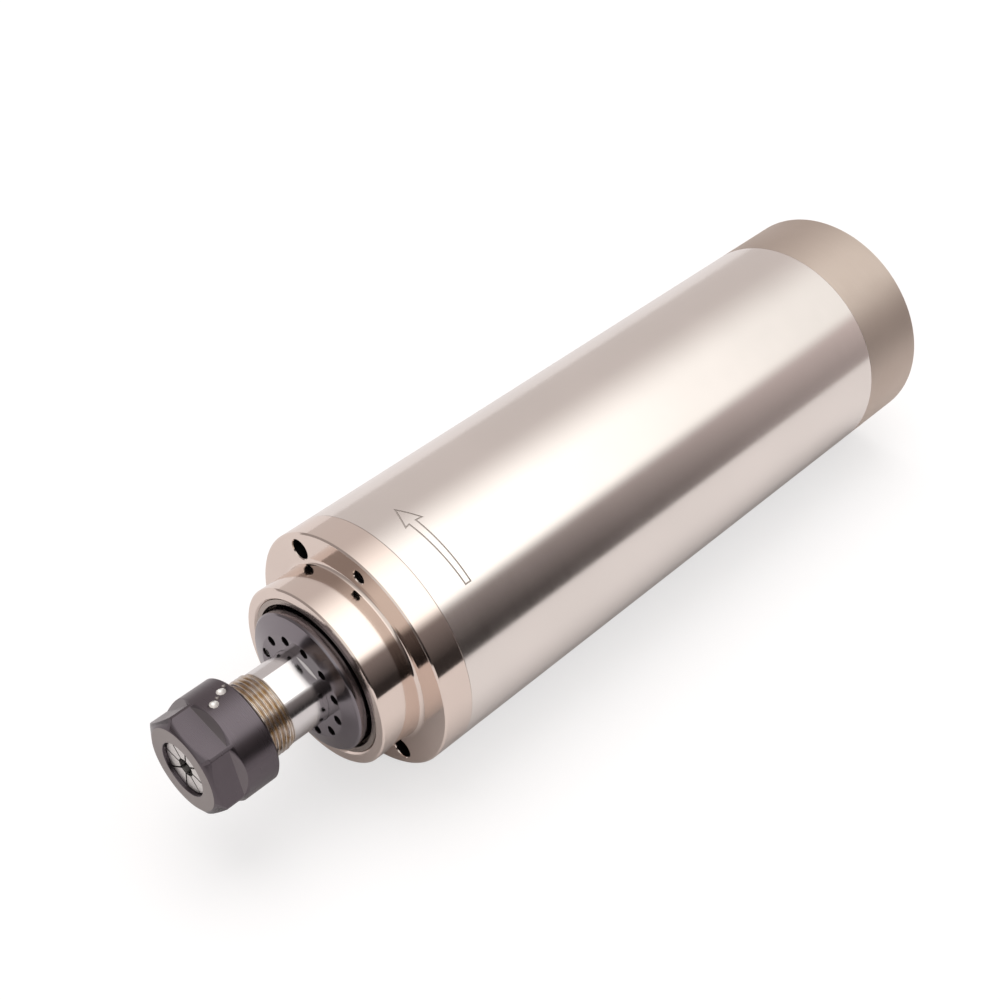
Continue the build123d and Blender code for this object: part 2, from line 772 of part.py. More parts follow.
def spindle_shaft():
    """Shaft with the collet seat, nose, wrench flats, bearing seats and rotor seat."""
    nose = nose_thread_diameter / 2
    neck = neck_diameter / 2
    seat = front_seat_radius
    step = step_diameter / 2
    tail = rear_bearing.bore / 2
    rotor_start = stator_front - end_ring_length - rotor_seat_overhang
    rotor_end = stator_rear + end_ring_length + rotor_seat_overhang
    tail_start = rear_race_a
    shaft_end = rear_housing_end + locknut_length + shaft_tail_length
    bore_end = collet_end + drawbar_depth
    seat_mouth = collet_radius(shaft_front) + running_gap
    seat_end = collet_radius(collet_end) + running_gap
    shaft = turned(
        (shaft_front, seat_mouth),
        (shaft_front, nose - shaft_chamfer), (shaft_front + shaft_chamfer, nose),
        (nose_thread_rear - shaft_chamfer, nose), (nose_thread_rear, neck),
        (balance_hub_face, neck), (balance_hub_face, seat - seat_gap),
        (front_race_a, seat - seat_gap), (front_race_a, seat), (front_race_end, seat),
        (front_race_end, shoulder_radius), (rotor_start, shoulder_radius),
        (rotor_start, rotor_seat_radius), (rotor_end, rotor_seat_radius), (rotor_end, step),
        (tail_start, step), (tail_start, tail),
        (shaft_end - shaft_chamfer, tail), (shaft_end, tail - shaft_chamfer),
        (shaft_end, 0), (bore_end, 0), (bore_end - drawbar_tip, drawbar_bore / 2),
        (collet_end + drawbar_relief, drawbar_bore / 2),
        (collet_end + drawbar_relief, seat_end), (collet_end, seat_end),
    )
    flat_start = balance_hub_face - neck_collar - flat_length
    flat = block(flat_start, flat_start + flat_length, flat_across / 2, flat_across,
                 neck_diameter)
    return shaft - around(flat, 2, flat_angle)


def balance_hole_place(shape):
    """The shape moved out to the circle of the balance holes."""
    return offset_from_axis(shape, balance_hole_radius)


def front_balance_ring():
    """Disc in the recess with a raised hub, a rear sleeve and a circle of tapped holes."""
    rim = balance_rim_radius
    disc = turned(
        (balance_hub_face, front_seat_radius), (balance_hub_face, balance_hub_radius),
        (balance_ring_front, balance_hub_radius), (balance_ring_front, rim - edge_chamfer),
        (balance_ring_front + edge_chamfer, rim), (balance_ring_rear, rim),
        (balance_ring_rear, balance_sleeve_radius), (front_race_a, balance_sleeve_radius),
        (front_race_a, front_seat_radius),
    )
    hole = hole_cutter(balance_hub_face, balance_hole_depth, balance_hole_diameter / 2)
    return disc - around(balance_hole_place(hole), balance_holes, balance_hole_angle)


def balance_set_screw():
    """Grub screw in the first balance hole."""
    screw = grub_screw(balance_hub_face + set_screw_sunk, set_screw_length,
                       balance_hole_diameter - 2 * seat_gap)
    return turn_to(balance_hole_place(screw), balance_hole_angle)


def rotor_bar(start, end, clearance):
    """One bar of the rotor cage, at +Y."""
    bar = rod(start, end, rotor_bar_diameter / 2 + clearance)
    return Pos(0, rotor_radius - rotor_bar_depth, 0) * bar


def rotor_core():
    """Laminated rotor with round holes for the bars."""
    core = ring(stator_front, stator_rear, rotor_seat_radius + seat_gap, rotor_radius)
    return core - around(rotor_bar(stator_front, stator_rear, seat_gap), rotor_bars)


def rotor_cage():
    """Cast bars and end rings of the rotor."""
    outer = rotor_radius - end_ring_step
    inner = rotor_seat_radius + end_ring_lift
    cage = ring(stator_front - end_ring_length, stator_front, inner, outer)
    cage += ring(stator_rear, stator_rear + end_ring_length, inner, outer)
    bar = rotor_bar(stator_front - rotor_bar_root, stator_rear + rotor_bar_root, 0)
    return cage + around(bar, rotor_bars)


def shaft_locknut():
    """Slotted nut that clamps the rear inner races."""
    outer = locknut_diameter / 2
    nut = ring(rear_housing_end, rear_housing_end + locknut_length,
               rear_bearing.bore / 2 + seat_gap, outer)
    slot = block(rear_housing_end, rear_housing_end + locknut_length,
                 outer - locknut_slot_depth, outer + cut_over, spanner_slot_width)
    return nut - around(slot, spanner_slots)


# ---- Collet and nut ---------------------------------------------------------------------------
def collet():
    """Spring collet, slotted in turn from its front and from its rear."""
    bore = collet_bore / 2
    face = collet_face_diameter / 2
    body = turned(
        (collet_face, bore), (collet_face, face),
        (collet_groove_front, face + collet_cone_length * cone_slope),
        (collet_groove_front, collet_groove_diameter / 2),
        (collet_shoulder, collet_groove_diameter / 2),
        (collet_shoulder, collet_diameter / 2),
        (collet_end, collet_radius(collet_end)),
        (collet_end, bore),
    )
    front_slot = block(collet_face - cut_over, collet_end - collet_slot_end, 0,
                       collet_diameter, collet_slot_width)
    rear_slot = block(collet_shoulder + collet_slot_end, collet_end + cut_over, 0,
                      collet_diameter, collet_slot_width)
    half_step = 180 / collet_slots
    slots = around(front_slot, collet_slots, collet_slot_angle)
    slots += around(rear_slot, collet_slots, collet_slot_angle + half_step)
    return body - slots


ring_seat_front = collet_groove_front + (collet_groove_length - extractor_ring_width) / 2
ring_seat_rear = ring_seat_front + extractor_ring_width


def collet_nut():
    """Nut with a hexagon milled on its front half and a cone inside its mouth."""
    outer = nut_diameter / 2
    mouth_end = collet_face + nut_mouth_land
    mouth = collet_face_diameter / 2 + nut_mouth_land * cone_slope + cone_gap
    cone_end = mouth + (ring_seat_front - mouth_end) * cone_slope
    thread = nose_thread_diameter / 2 + running_gap
    ring_seat = extractor_ring_diameter / 2 + seat_gap
    blank = turned(
        (nut_front, mouth), (nut_front, nut_face_diameter / 2),
        (nut_front + nut_front_chamfer, outer), (nut_rear - nut_rear_chamfer, outer),
        (nut_rear, outer - nut_rear_chamfer), (nut_rear, thread + nut_rear_chamfer),
        (nut_rear - nut_rear_chamfer, thread), (ring_seat_rear, thread),
        (ring_seat_rear, ring_seat), (ring_seat_front, ring_seat),
        (ring_seat_front, cone_end), (mouth_end, mouth),
    )
    flat = block(nut_front - cut_over, nut_front + nut_hex_length, nut_across_flats / 2,
                 nut_across_flats, nut_diameter)
    return blank - around(flat, 6, nut_hex_angle)


def collet_nut_ring():
    """Off-centre ring that stands in the collet's groove and pulls it out."""
    body = rod(ring_seat_front, ring_seat_rear, extractor_ring_diameter / 2)
    hole = rod(ring_seat_front, ring_seat_rear, extractor_bore / 2)
    return body - offset_from_axis(hole, extractor_offset, nut_hex_angle)


# ---- Nodes ------------------------------------------------------------------------------------
front_outer_a, front_inner_a = bearing_races(front_bearing, front_race_a)
front_outer_b, front_inner_b = bearing_races(front_bearing, front_race_b)
rear_outer_a, rear_inner_a = bearing_races(rear_bearing, rear_race_a)
rear_outer_b, rear_inner_b = bearing_races(rear_bearing, rear_race_b)
spacer_start = front_race_a + front_bearing.width

nodes = {
    "front_housing": front_housing(),
    "front_clamp_ring": front_clamp_ring(),
    "flange_lock_screw": flange_lock_screw(),
    "body_tube": body_tube(),
    "cooling_sleeve": cooling_sleeve(),
    "front_o_ring": seal_ring(front_seal_start),
    "rear_o_ring": seal_ring(rear_seal_start),
    "stator_core": stator_core(),
    "stator_windings": stator_windings(),
    "rear_bearing_housing": rear_bearing_housing(),
    "preload_springs": preload_springs(),
    "front_outer_race_a": front_outer_a,
    "front_outer_race_b": front_outer_b,
    "front_outer_spacer": ring(spacer_start, front_race_b, front_lip_radius,
                               front_bore_radius),
    "rear_outer_race_a": rear_outer_a,
    "rear_outer_race_b": rear_outer_b,
    "rear_cap": rear_cap(),
    "rear_cap_screws": group(around(cap_screw(), cap_screws, cap_screw_angle)),
    "coolant_pipes": group([turn_to(coolant_pipe(), angle) for angle in nipple_places]),
    "water_inlet_nipple": water_nipple(inlet_angle),
    "water_outlet_nipple": water_nipple(outlet_angle),
    "power_socket_shell": power_socket_shell(),
    "power_socket_insert": power_socket_insert(),
    "power_socket_pins": power_socket_pins(),
    "power_socket_nut": power_socket_nut(),
    "motor_leads": group([motor_lead(number) for number in range(socket_pins)]),
    "spindle_shaft": spindle_shaft(),
    "front_balance_ring": front_balance_ring(),
    "balance_set_screw": balance_set_screw(),
    "front_inner_race_a": front_inner_a,
    "front_inner_race_b": front_inner_b,
    "front_inner_spacer": ring(spacer_start, front_race_b, front_seat_radius + seat_gap,
                               shoulder_radius),
    "rotor_core": rotor_core(),
    "rotor_cage": rotor_cage(),
    "rear_inner_race_a": rear_inner_a,
    "rear_inner_race_b": rear_inner_b,
    "shaft_locknut": shaft_locknut(),
    "front_ball_cage_a": bearing_cage(front_bearing, front_race_a),
    "front_balls_a": bearing_balls(front_bearing, front_race_a),
    "front_ball_cage_b": bearing_cage(front_bearing, front_race_b),
    "front_balls_b": bearing_balls(front_bearing, front_race_b),
    "rear_ball_cage_a": bearing_cage(rear_bearing, rear_race_a),
    "rear_balls_a": bearing_balls(rear_bearing, rear_race_a),
    "rear_ball_cage_b": bearing_cage(rear_bearing, rear_race_b),
    "rear_balls_b": bearing_balls(rear_bearing, rear_race_b),
    "collet": collet(),
    "collet_nut": collet_nut(),
    "collet_nut_ring": collet_nut_ring(),
}

os.makedirs("parts", exist_ok=True)
for name, shape in nodes.items():
    export_step(shape, f"parts/{name}.step")
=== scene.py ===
"""Looks of a water-cooled motor spindle: its visible pieces, their finishes and a plain studio."""
import json
import logging
import math
from dataclasses import dataclass
from enum import Enum
from typing import Any, Callable, Sequence

import bmesh
import bpy
from mathutils import Matrix, Vector


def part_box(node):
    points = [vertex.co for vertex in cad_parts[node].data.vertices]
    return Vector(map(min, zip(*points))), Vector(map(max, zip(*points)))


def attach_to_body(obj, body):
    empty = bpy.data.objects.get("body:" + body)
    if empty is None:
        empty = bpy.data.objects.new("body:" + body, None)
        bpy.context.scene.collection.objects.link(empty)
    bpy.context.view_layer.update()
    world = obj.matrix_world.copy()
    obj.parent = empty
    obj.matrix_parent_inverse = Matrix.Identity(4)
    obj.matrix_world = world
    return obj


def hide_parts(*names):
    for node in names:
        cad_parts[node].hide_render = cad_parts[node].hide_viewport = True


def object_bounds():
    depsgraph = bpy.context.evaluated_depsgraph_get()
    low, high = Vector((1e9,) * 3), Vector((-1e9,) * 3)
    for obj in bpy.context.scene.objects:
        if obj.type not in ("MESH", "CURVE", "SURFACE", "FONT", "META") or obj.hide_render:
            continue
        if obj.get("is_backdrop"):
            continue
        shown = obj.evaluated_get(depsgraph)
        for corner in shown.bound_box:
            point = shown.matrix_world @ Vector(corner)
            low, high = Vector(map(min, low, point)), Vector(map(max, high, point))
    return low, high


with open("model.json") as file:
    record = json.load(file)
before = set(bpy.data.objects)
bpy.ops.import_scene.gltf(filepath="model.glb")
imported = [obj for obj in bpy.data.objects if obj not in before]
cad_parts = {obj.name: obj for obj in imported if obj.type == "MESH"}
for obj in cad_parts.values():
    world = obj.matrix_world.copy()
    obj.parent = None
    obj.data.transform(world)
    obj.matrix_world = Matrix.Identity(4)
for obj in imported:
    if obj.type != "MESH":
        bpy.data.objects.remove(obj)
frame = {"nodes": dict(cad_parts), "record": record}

log = logging.getLogger("spindle")

MM = 0.001                      # one millimetre, in metres
ARC_STEPS = 4                   # chords in a rounded corner
CORNER_SHARE = 0.48             # most of an outline's side that one rounding takes
ON_AXIS = 1e-6                  # millimetres from the axis at which an outline closes
PAST = 1.0                      # millimetres that a cutting tool reaches past a surface
BURIED = 0.3                    # millimetres that an added shell starts inside its piece
SHARP_ANGLE = math.radians(32)
BEVEL_STEPS = 2
FACE_WEIGHT = 80                # how much large faces bend the normals beside them
ROUND_REACH = 0.01              # millimetres from a cylinder within which a corner lies on it
ROUND_FACING = 0.995            # cosine within which a face looks away from the axis
QUARTER_TURN = 0.25             # of a turn
FULL_TURN = 360.0               # degrees
WHITE = (1.0, 1.0, 1.0, 1.0)
GRAIN_LAYERS = 3.0              # layers of noise in grain and in slow patches
BLOT_LAYERS = 4.0               # in smudges and blots
SCUFF_LAYERS = 2.0
Corner = tuple[float, float, float]     # place along the axis, radius, rounding
Colour = tuple[float, float, float]

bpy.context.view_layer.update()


# ---- Node trees -------------------------------------------------------------------------------
class NodeSketch:
    """Short calls that build a node tree."""

    def __init__(self, tree: bpy.types.NodeTree) -> None:
        """Starts on the tree that takes the nodes."""
        self.tree = tree

    def add(self, kind: str, inputs: dict[Any, Any] | None = None, **settings: Any) -> bpy.types.Node:
        """Adds a node.

        Args:
            kind: Blender's name of the node type.
            inputs: Values or output sockets for its inputs, by name or number.
            settings: Properties of the node itself.

        Returns:
            The new node.
        """
        node = self.tree.nodes.new(kind)
        for key, value in settings.items():
            setattr(node, key, value)
        for key, value in (inputs or {}).items():
            if isinstance(value, bpy.types.NodeSocket):
                self.tree.links.new(value, node.inputs[key])
            else:
                node.inputs[key].default_value = value
        return node

    def math(self, operation: str, *values: Any) -> bpy.types.NodeSocket:
        """Adds a Math node on numbers or sockets and gives its output."""
        return self.add("ShaderNodeMath", dict(enumerate(values)), operation=operation).outputs[0]

    def vector(self, operation: str, *values: Any) -> bpy.types.NodeSocket:
        """Adds a Vector Math node and gives its vector, or its number for a length."""
        node = self.add("ShaderNodeVectorMath", dict(enumerate(values)), operation=operation)
        return node.outputs["Value" if operation == "LENGTH" else "Vector"]

    def scaled(self, colour: Colour, amount: bpy.types.NodeSocket) -> bpy.types.NodeSocket:
        """Multiplies a colour by a socket's number."""
        inputs = {0: colour, "Scale": amount}
        return self.add("ShaderNodeVectorMath", inputs, operation="SCALE").outputs["Vector"]

    def place(self) -> bpy.types.NodeSocket:
        """Adds the coordinates that stay with the object."""
        return self.add("ShaderNodeTexCoord").outputs["Object"]

    def split(self, place: bpy.types.NodeSocket) -> Sequence[bpy.types.NodeSocket]:
        """Gives the three numbers of a vector."""
        return self.add("ShaderNodeSeparateXYZ", {0: place}).outputs

    def joined(self, *parts: bpy.types.NodeSocket) -> bpy.types.NodeSocket:
        """Makes a vector of up to three numbers."""
        return self.add("ShaderNodeCombineXYZ", dict(enumerate(parts))).outputs[0]

    def off_axis(self, place: bpy.types.NodeSocket) -> bpy.types.NodeSocket:
        """Gives the distance of a place from the spindle axis."""
        return self.vector("LENGTH", self.vector("MULTIPLY", place, (0.0, 1.0, 1.0)))

    def bump(self, height: bpy.types.NodeSocket, depth: float,
             strength: float = 1.0) -> bpy.types.NodeSocket:
        """Gives the normal that a height makes, with its depth in millimetres."""
        inputs = {"Strength": strength, "Distance": depth * MM, "Height": height}
        return self.add("ShaderNodeBump", inputs).outputs[0]

    def spread(self, value: Any, low: float, high: float, to_low: float, to_high: float,
               smooth: bool = False) -> bpy.types.NodeSocket:
        """Adds a clamped Map Range node.

        Args:
            value: The number or socket to map.
            low: Start of its range.
            high: End of its range.
            to_low: Result at the start.
            to_high: Result at the end.
            smooth: Whether the ends are eased.

        Returns:
            The result socket.
        """
        inputs = {"Value": value, "From Min": low, "From Max": high, "To Min": to_low, "To Max": to_high}
        return self.add("ShaderNodeMapRange", inputs, clamp=True,
                        interpolation_type="SMOOTHSTEP" if smooth else "LINEAR").outputs["Result"]

    def noise(self, place: Any, scale: float, layers: float = GRAIN_LAYERS) -> bpy.types.NodeSocket:
        """Adds a Noise Texture node, with its scale per metre, and gives its factor."""
        inputs = {"Vector": place, "Scale": scale, "Detail": layers}
        return self.add("ShaderNodeTexNoise", inputs).outputs[0]

    def blend(self, share: Any, first: Any, second: Any) -> bpy.types.NodeSocket:
        """Adds a node that mixes two colours.

        Args:
            share: Share of the second colour.
            first: The first colour or socket.
            second: The second colour or socket.

        Returns:
            The colour socket.
        """
        first, second = (solid(side) if isinstance(side, tuple) else side for side in (first, second))
        # 6, 7 and 2 are the sockets of this node that hold colours.
        node = self.add("ShaderNodeMix", {0: share, 6: first, 7: second}, data_type="RGBA")
        return node.outputs[2]

    def either(self, share: Any, first: bpy.types.Node, second: bpy.types.Node) -> bpy.types.Node:
        """Adds a node that mixes two shaders, with the share of the second."""
        return self.add("ShaderNodeMixShader", {0: share, 1: first.outputs[0], 2: second.outputs[0]})


def solid(colour: Colour) -> tuple[float, float, float, float]:
    """The colour with an alpha of one."""
    return (*colour, 1.0)


def emptied(owner: bpy.types.Material | bpy.types.World) -> NodeSketch:
    """Clears the node tree of a material or of the world.

    Args:
        owner: The material or the world, which is changed.

    Returns:
        A sketch on its tree.
    """
    owner.use_nodes = True
    owner.node_tree.nodes.clear()
    return NodeSketch(owner.node_tree)


# ---- Finishes ---------------------------------------------------------------------------------
class Grain(Enum):
    """How the marks of making run over a surface."""

    TURNED = "rings about the spindle axis"
    LENGTHWISE = "lines along the spindle axis"
    EVEN = "no direction"


class Finish:
    """A finish that makes its material once and hands out the same one after that."""

    made: dict[str, bpy.types.Material] = {}
    name: str

    def material(self) -> bpy.types.Material:
        """Makes the material, or finds the one that was made before.

        Returns:
            The material of this finish.
        """
        if self.name not in Finish.made:
            material = bpy.data.materials.new(self.name)
            sketch = emptied(material)
            shader = self.shader(sketch)
            sketch.add("ShaderNodeOutputMaterial", {"Surface": shader.outputs[0]})
            Finish.made[self.name] = material
        return Finish.made[self.name]

    def shader(self, sketch: NodeSketch) -> bpy.types.Node:
        """Builds the surface shader in the material's tree."""
        raise NotImplementedError


@dataclass(frozen=True)
class Metal(Finish):
    """A machined metal with tool marks, hand smudges and a slight drift of colour."""

    name: str
    colour: Colour
    shade: Colour                   # second colour of the slow drift
    roughness: float
    smudge: float = 0.05            # added roughness where it is handled
    grain: Grain = Grain.TURNED
    grain_pitch: float = 0.35       # millimetres between marks
    grain_depth: float = 0.0004     # millimetres
    anisotropy: float = 0.0
    drift: float = 25.0             # patches of colour per metre
    drift_band: tuple[float, float] = (0.35, 0.65)      # noise between one colour and the other
    smudge_scale: float = 3.1       # smudges to a patch of colour
    smudge_band: tuple[float, float] = (0.4, 0.75)
    mark_band: tuple[float, float] = (0.3, 0.7)
    mark_swing: float = 0.02        # roughness that the marks add and take
    stretch: float = 0.02           # change of the noise along a mark, against that across it

    def pattern(self, sketch: NodeSketch, place: bpy.types.NodeSocket) -> bpy.types.NodeSocket:
        """Coordinates that stretch a noise along the tool marks.

        Args:
            sketch: The material's tree.
            place: The object coordinates.

        Returns:
            The stretched coordinates.
        """
        if self.grain is Grain.EVEN:
            return place
        if self.grain is Grain.LENGTHWISE:
            return sketch.vector("MULTIPLY", place, (self.stretch, 1.0, 1.0))
        along, across, up = sketch.split(place)
        slow = sketch.math("MULTIPLY", sketch.math("ADD", across, up), self.stretch)
        return sketch.joined(along, sketch.off_axis(place), slow)

    def shader(self, sketch: NodeSketch) -> bpy.types.Node:
        """Builds the metal's shader.

        Args:
            sketch: The material's tree.

        Returns:
            The shader node.
        """
        place = sketch.place()
        marks = sketch.noise(self.pattern(sketch, place), 1 / (self.grain_pitch * MM))
        patches = sketch.noise(place, self.drift)
        hands = sketch.noise(place, self.drift * self.smudge_scale, BLOT_LAYERS)
        colour = sketch.blend(sketch.spread(patches, *self.drift_band, 0.0, 1.0), self.colour, self.shade)
        handled = sketch.spread(hands, *self.smudge_band, 0.0, self.smudge)
        marked = sketch.spread(marks, *self.mark_band, -self.mark_swing, self.mark_swing)
        rough = sketch.math("ADD", sketch.math("ADD", self.roughness, handled), marked)
        shader = sketch.add("ShaderNodeBsdfPrincipled", {
            "Base Color": colour, "Metallic": 1.0, "Roughness": rough,
            "Normal": sketch.bump(marks, self.grain_depth), "Anisotropic": self.anisotropy})
        if self.anisotropy > 0:
            shader.inputs["Anisotropic Rotation"].default_value = QUARTER_TURN
            tangent = sketch.add("ShaderNodeTangent", direction_type="RADIAL", axis="X")
            sketch.tree.links.new(tangent.outputs[0], shader.inputs["Tangent"])
        return shader


@dataclass(frozen=True)
class OiledMetal(Finish):
    """Bright metal under a thin film of old oil that gathers in the roots of the thread."""

    name: str
    colour: Colour
    oil: Colour
    roughness: float
    root_radius: float              # millimetres, where the oil is thickest
    crest_radius: float             # millimetres, where the oil is thinnest
    film_start: float               # millimetres along the axis
    film_end: float
    film_fade: float = 1.0          # millimetres over which the film starts and ends
    crest_film: float = 0.42        # share of the oil that stays on the crests
    film_roughness: float = 0.16
    blot_scale: float = 260.0       # per metre
    blot_band: tuple[float, float] = (0.3, 0.6)
    blot_low: float = 0.35          # share of the oil between the blots
    scuff_scale: float = 3000.0     # per metre, along the axis
    scuff_stretch: float = 0.1
    scuff_band: tuple[float, float] = (0.4, 0.7)
    scuff_roughness: float = 0.06
    scuff_depth: float = 0.0004     # millimetres
    coat: float = 0.25
    coat_roughness: float = 0.12

    def shader(self, sketch: NodeSketch) -> bpy.types.Node:
        """Builds the shader of oiled metal.

        Args:
            sketch: The material's tree.

        Returns:
            The shader node.
        """
        place = sketch.place()
        along = sketch.split(place)[0]
        depth = sketch.spread(sketch.off_axis(place), self.root_radius * MM, self.crest_radius * MM,
                              1.0, self.crest_film)
        start = sketch.spread(along, (self.film_start - self.film_fade) * MM, self.film_start * MM,
                              0.0, 1.0)
        end = sketch.spread(along, self.film_end * MM, (self.film_end + self.film_fade) * MM, 1.0, 0.0)
        blots = sketch.spread(sketch.noise(place, self.blot_scale, BLOT_LAYERS), *self.blot_band,
                              self.blot_low, 1.0)
        film = sketch.math("MULTIPLY", sketch.math("MULTIPLY", start, end),
                           sketch.math("MULTIPLY", depth, blots))
        stretched = sketch.vector("MULTIPLY", place, (1.0, self.scuff_stretch, self.scuff_stretch))
        scuffs = sketch.noise(stretched, self.scuff_scale, SCUFF_LAYERS)
        scuffed = sketch.spread(scuffs, *self.scuff_band, 0.0, self.scuff_roughness)
        rough = sketch.math("ADD", sketch.math("ADD", self.roughness, scuffed),
                            sketch.math("MULTIPLY", film, self.film_roughness))
        return sketch.add("ShaderNodeBsdfPrincipled", {
            "Base Color": sketch.blend(film, self.colour, self.oil), "Metallic": 1.0,
            "Roughness": rough, "Normal": sketch.bump(scuffs, self.scuff_depth),
            "Coat Weight": self.coat, "Coat Roughness": self.coat_roughness})


@dataclass(frozen=True)
class Moulded(Finish):
    """A plastic, rubber or resin with a fine moulded grain."""

    name: str
    colour: Colour
    shade: Colour
    roughness: float
    grain_scale: float = 2500.0     # per metre
    grain_depth: float = 0.004      # millimetres
    grain_strength: float = 0.6
    grain_band: tuple[float, float] = (0.3, 0.7)
    smoother: float = 0.05          # roughness that the grain takes
    rougher: float = 0.08           # and adds
    patch_scale: float = 60.0       # per metre

    def shader(self, sketch: NodeSketch) -> bpy.types.Node:
        """Builds the shader of a moulded surface.

        Args:
            sketch: The material's tree.

        Returns:
            The shader node.
        """
        place = sketch.place()
        grain = sketch.noise(place, self.grain_scale)
        colour = sketch.blend(sketch.noise(place, self.patch_scale), self.colour, self.shade)
        rough = sketch.spread(grain, *self.grain_band, self.roughness - self.smoother,
                              self.roughness + self.rougher)
        return sketch.add("ShaderNodeBsdfPrincipled", {
            "Base Color": colour, "Roughness": rough,
            "Normal": sketch.bump(grain, self.grain_depth, self.grain_strength)})


GROUND_PLATE = Metal("ground_nickel", (0.83, 0.775, 0.735), (0.80, 0.75, 0.71), roughness=0.16,
                     smudge=0.03, grain_pitch=0.5, anisotropy=0.55)
MIRROR_PLATE = Metal("mirror_nickel", (0.795, 0.685, 0.620), (0.765, 0.658, 0.594), roughness=0.09,
                     smudge=0.03, grain_pitch=0.4, grain_depth=0.0002, anisotropy=0.35)
SATIN_CAP = Metal("satin_cap_metal", (0.625, 0.535, 0.470), (0.585, 0.50, 0.437), roughness=0.53,
                  smudge=0.06, grain_pitch=0.5, grain_depth=0.0012, anisotropy=0.45)
ETCHED_LINE = Metal("etched_line", (0.46, 0.42, 0.39), (0.52, 0.47, 0.44), roughness=0.6,
                    grain=Grain.EVEN)
BLACK_OXIDE = Metal("black_oxide_satin", (0.130, 0.112, 0.124), (0.108, 0.093, 0.104), roughness=0.28,
                    smudge=0.03, grain_pitch=0.3, grain_depth=0.0008)
# Lighter oxide for the nut's bevels, front face and dull spots: partly real wear, partly painted highlight
# along the edges and on the face.
OXIDE_WEAR_AND_HIGHLIGHT = Metal("black_oxide_wear_and_painted_highlight", (0.30, 0.27, 0.26), (0.25, 0.22, 0.215), roughness=0.34,
                   smudge=0.05, grain_pitch=0.25, grain_depth=0.001)
# Painted light: lighter oxide on the slopes behind the hex flats, against the shade that falls on them.
SLOPE_LIGHT_OXIDE = Metal("black_oxide_slope_painted_light", (0.180, 0.160, 0.168), (0.155, 0.137, 0.145), roughness=0.30,
                    smudge=0.03)
DISC_OXIDE = Metal("black_oxide_disc", (0.243, 0.222, 0.240), (0.207, 0.188, 0.205), roughness=0.15,
                   smudge=0.04, grain_pitch=0.35, grain_depth=0.0005, anisotropy=0.3)
RING_STEEL = Metal("recess_ring_steel", (0.42, 0.365, 0.33), (0.36, 0.315, 0.285), roughness=0.26,
                   smudge=0.04)
# Near-black painted shade for the insides of drilled holes, not the pieces' own finish.
HOLE_SHADE = Metal("bore_painted_shade", (0.030, 0.027, 0.028), (0.045, 0.04, 0.04), roughness=0.5,
                   grain=Grain.EVEN)
BARE_SPOT = Metal("bare_spot", (0.92, 0.90, 0.88), (0.84, 0.82, 0.80), roughness=0.42, grain=Grain.EVEN)
COLLET_STEEL = Metal("collet_ground", (0.72, 0.70, 0.68), (0.64, 0.62, 0.60), roughness=0.30, smudge=0.08,
                     grain_pitch=0.2, grain_depth=0.0008, anisotropy=0.3)
SHAFT_STEEL = OiledMetal("shaft_oiled", (0.71, 0.69, 0.69), (0.40, 0.27, 0.14), roughness=0.13,
                         root_radius=11.75, crest_radius=12.5, film_start=-57.0, film_end=-33.0)
DARK_STEEL = Metal("machined_steel", (0.36, 0.35, 0.34), (0.30, 0.29, 0.28), roughness=0.38, smudge=0.08)
BEARING_STEEL = Metal("bearing_ground", (0.70, 0.70, 0.71), (0.64, 0.64, 0.66), roughness=0.14,
                      smudge=0.04)
SCREW_STEEL = Metal("zinc_screw", (0.56, 0.55, 0.53), (0.46, 0.45, 0.44), roughness=0.33, smudge=0.08,
                    grain=Grain.EVEN, grain_pitch=0.4)
LAMINATION = Metal("lamination_stack", (0.35, 0.35, 0.37), (0.28, 0.28, 0.30), roughness=0.5, smudge=0.1,
                   grain_pitch=0.5, grain_depth=0.01)
ALUMINIUM = Metal("machined_aluminium", (0.72, 0.73, 0.74), (0.66, 0.67, 0.68), roughness=0.30,
                  smudge=0.06)
COPPER = Metal("enamelled_copper", (0.66, 0.33, 0.18), (0.55, 0.25, 0.12), roughness=0.30, smudge=0.06,
               grain=Grain.LENGTHWISE, grain_pitch=0.9, grain_depth=0.05)
BRASS = Metal("turned_brass", (0.78, 0.58, 0.28), (0.70, 0.50, 0.23), roughness=0.22, smudge=0.08,
              grain_pitch=0.3)
PLATED_SHELL = Metal("plated_shell_metal", (0.76, 0.76, 0.77), (0.70, 0.70, 0.71), roughness=0.20,
                     smudge=0.05)
PIN_PLATING = Metal("pin_silver", (0.80, 0.78, 0.72), (0.72, 0.70, 0.64), roughness=0.24, smudge=0.05,
                    grain=Grain.EVEN)
BLACK_PLASTIC = Moulded("moulded_black", (0.030, 0.030, 0.031), (0.040, 0.040, 0.042), roughness=0.42)
CAGE_RESIN = Moulded("phenolic_resin", (0.45, 0.30, 0.15), (0.38, 0.24, 0.11), roughness=0.5,
                     grain_scale=900.0, grain_depth=0.01)
RED_SILICONE = Moulded("red_silicone", (0.52, 0.06, 0.05), (0.44, 0.05, 0.04), roughness=0.5)
SEAL_RUBBER = Moulded("seal_black_rubber", (0.028, 0.028, 0.028), (0.038, 0.038, 0.038), roughness=0.55)

FINISH_OF_SLOT: dict[str, Finish] = {
    "polished_steel": GROUND_PLATE, "satin_cap": SATIN_CAP, "plain_steel": DARK_STEEL,
    "bearing_steel": BEARING_STEEL, "shaft_steel": SHAFT_STEEL, "screw_steel": SCREW_STEEL,
    "black_oxide": BLACK_OXIDE, "collet_steel": COLLET_STEEL, "lamination": LAMINATION,
    "aluminium": ALUMINIUM, "copper": COPPER, "brass": BRASS, "plated_shell": PLATED_SHELL,
    "pin_plating": PIN_PLATING, "black_plastic": BLACK_PLASTIC, "cage_resin": CAGE_RESIN,
    "lead_insulation": RED_SILICONE, "seal_rubber": SEAL_RUBBER,
}


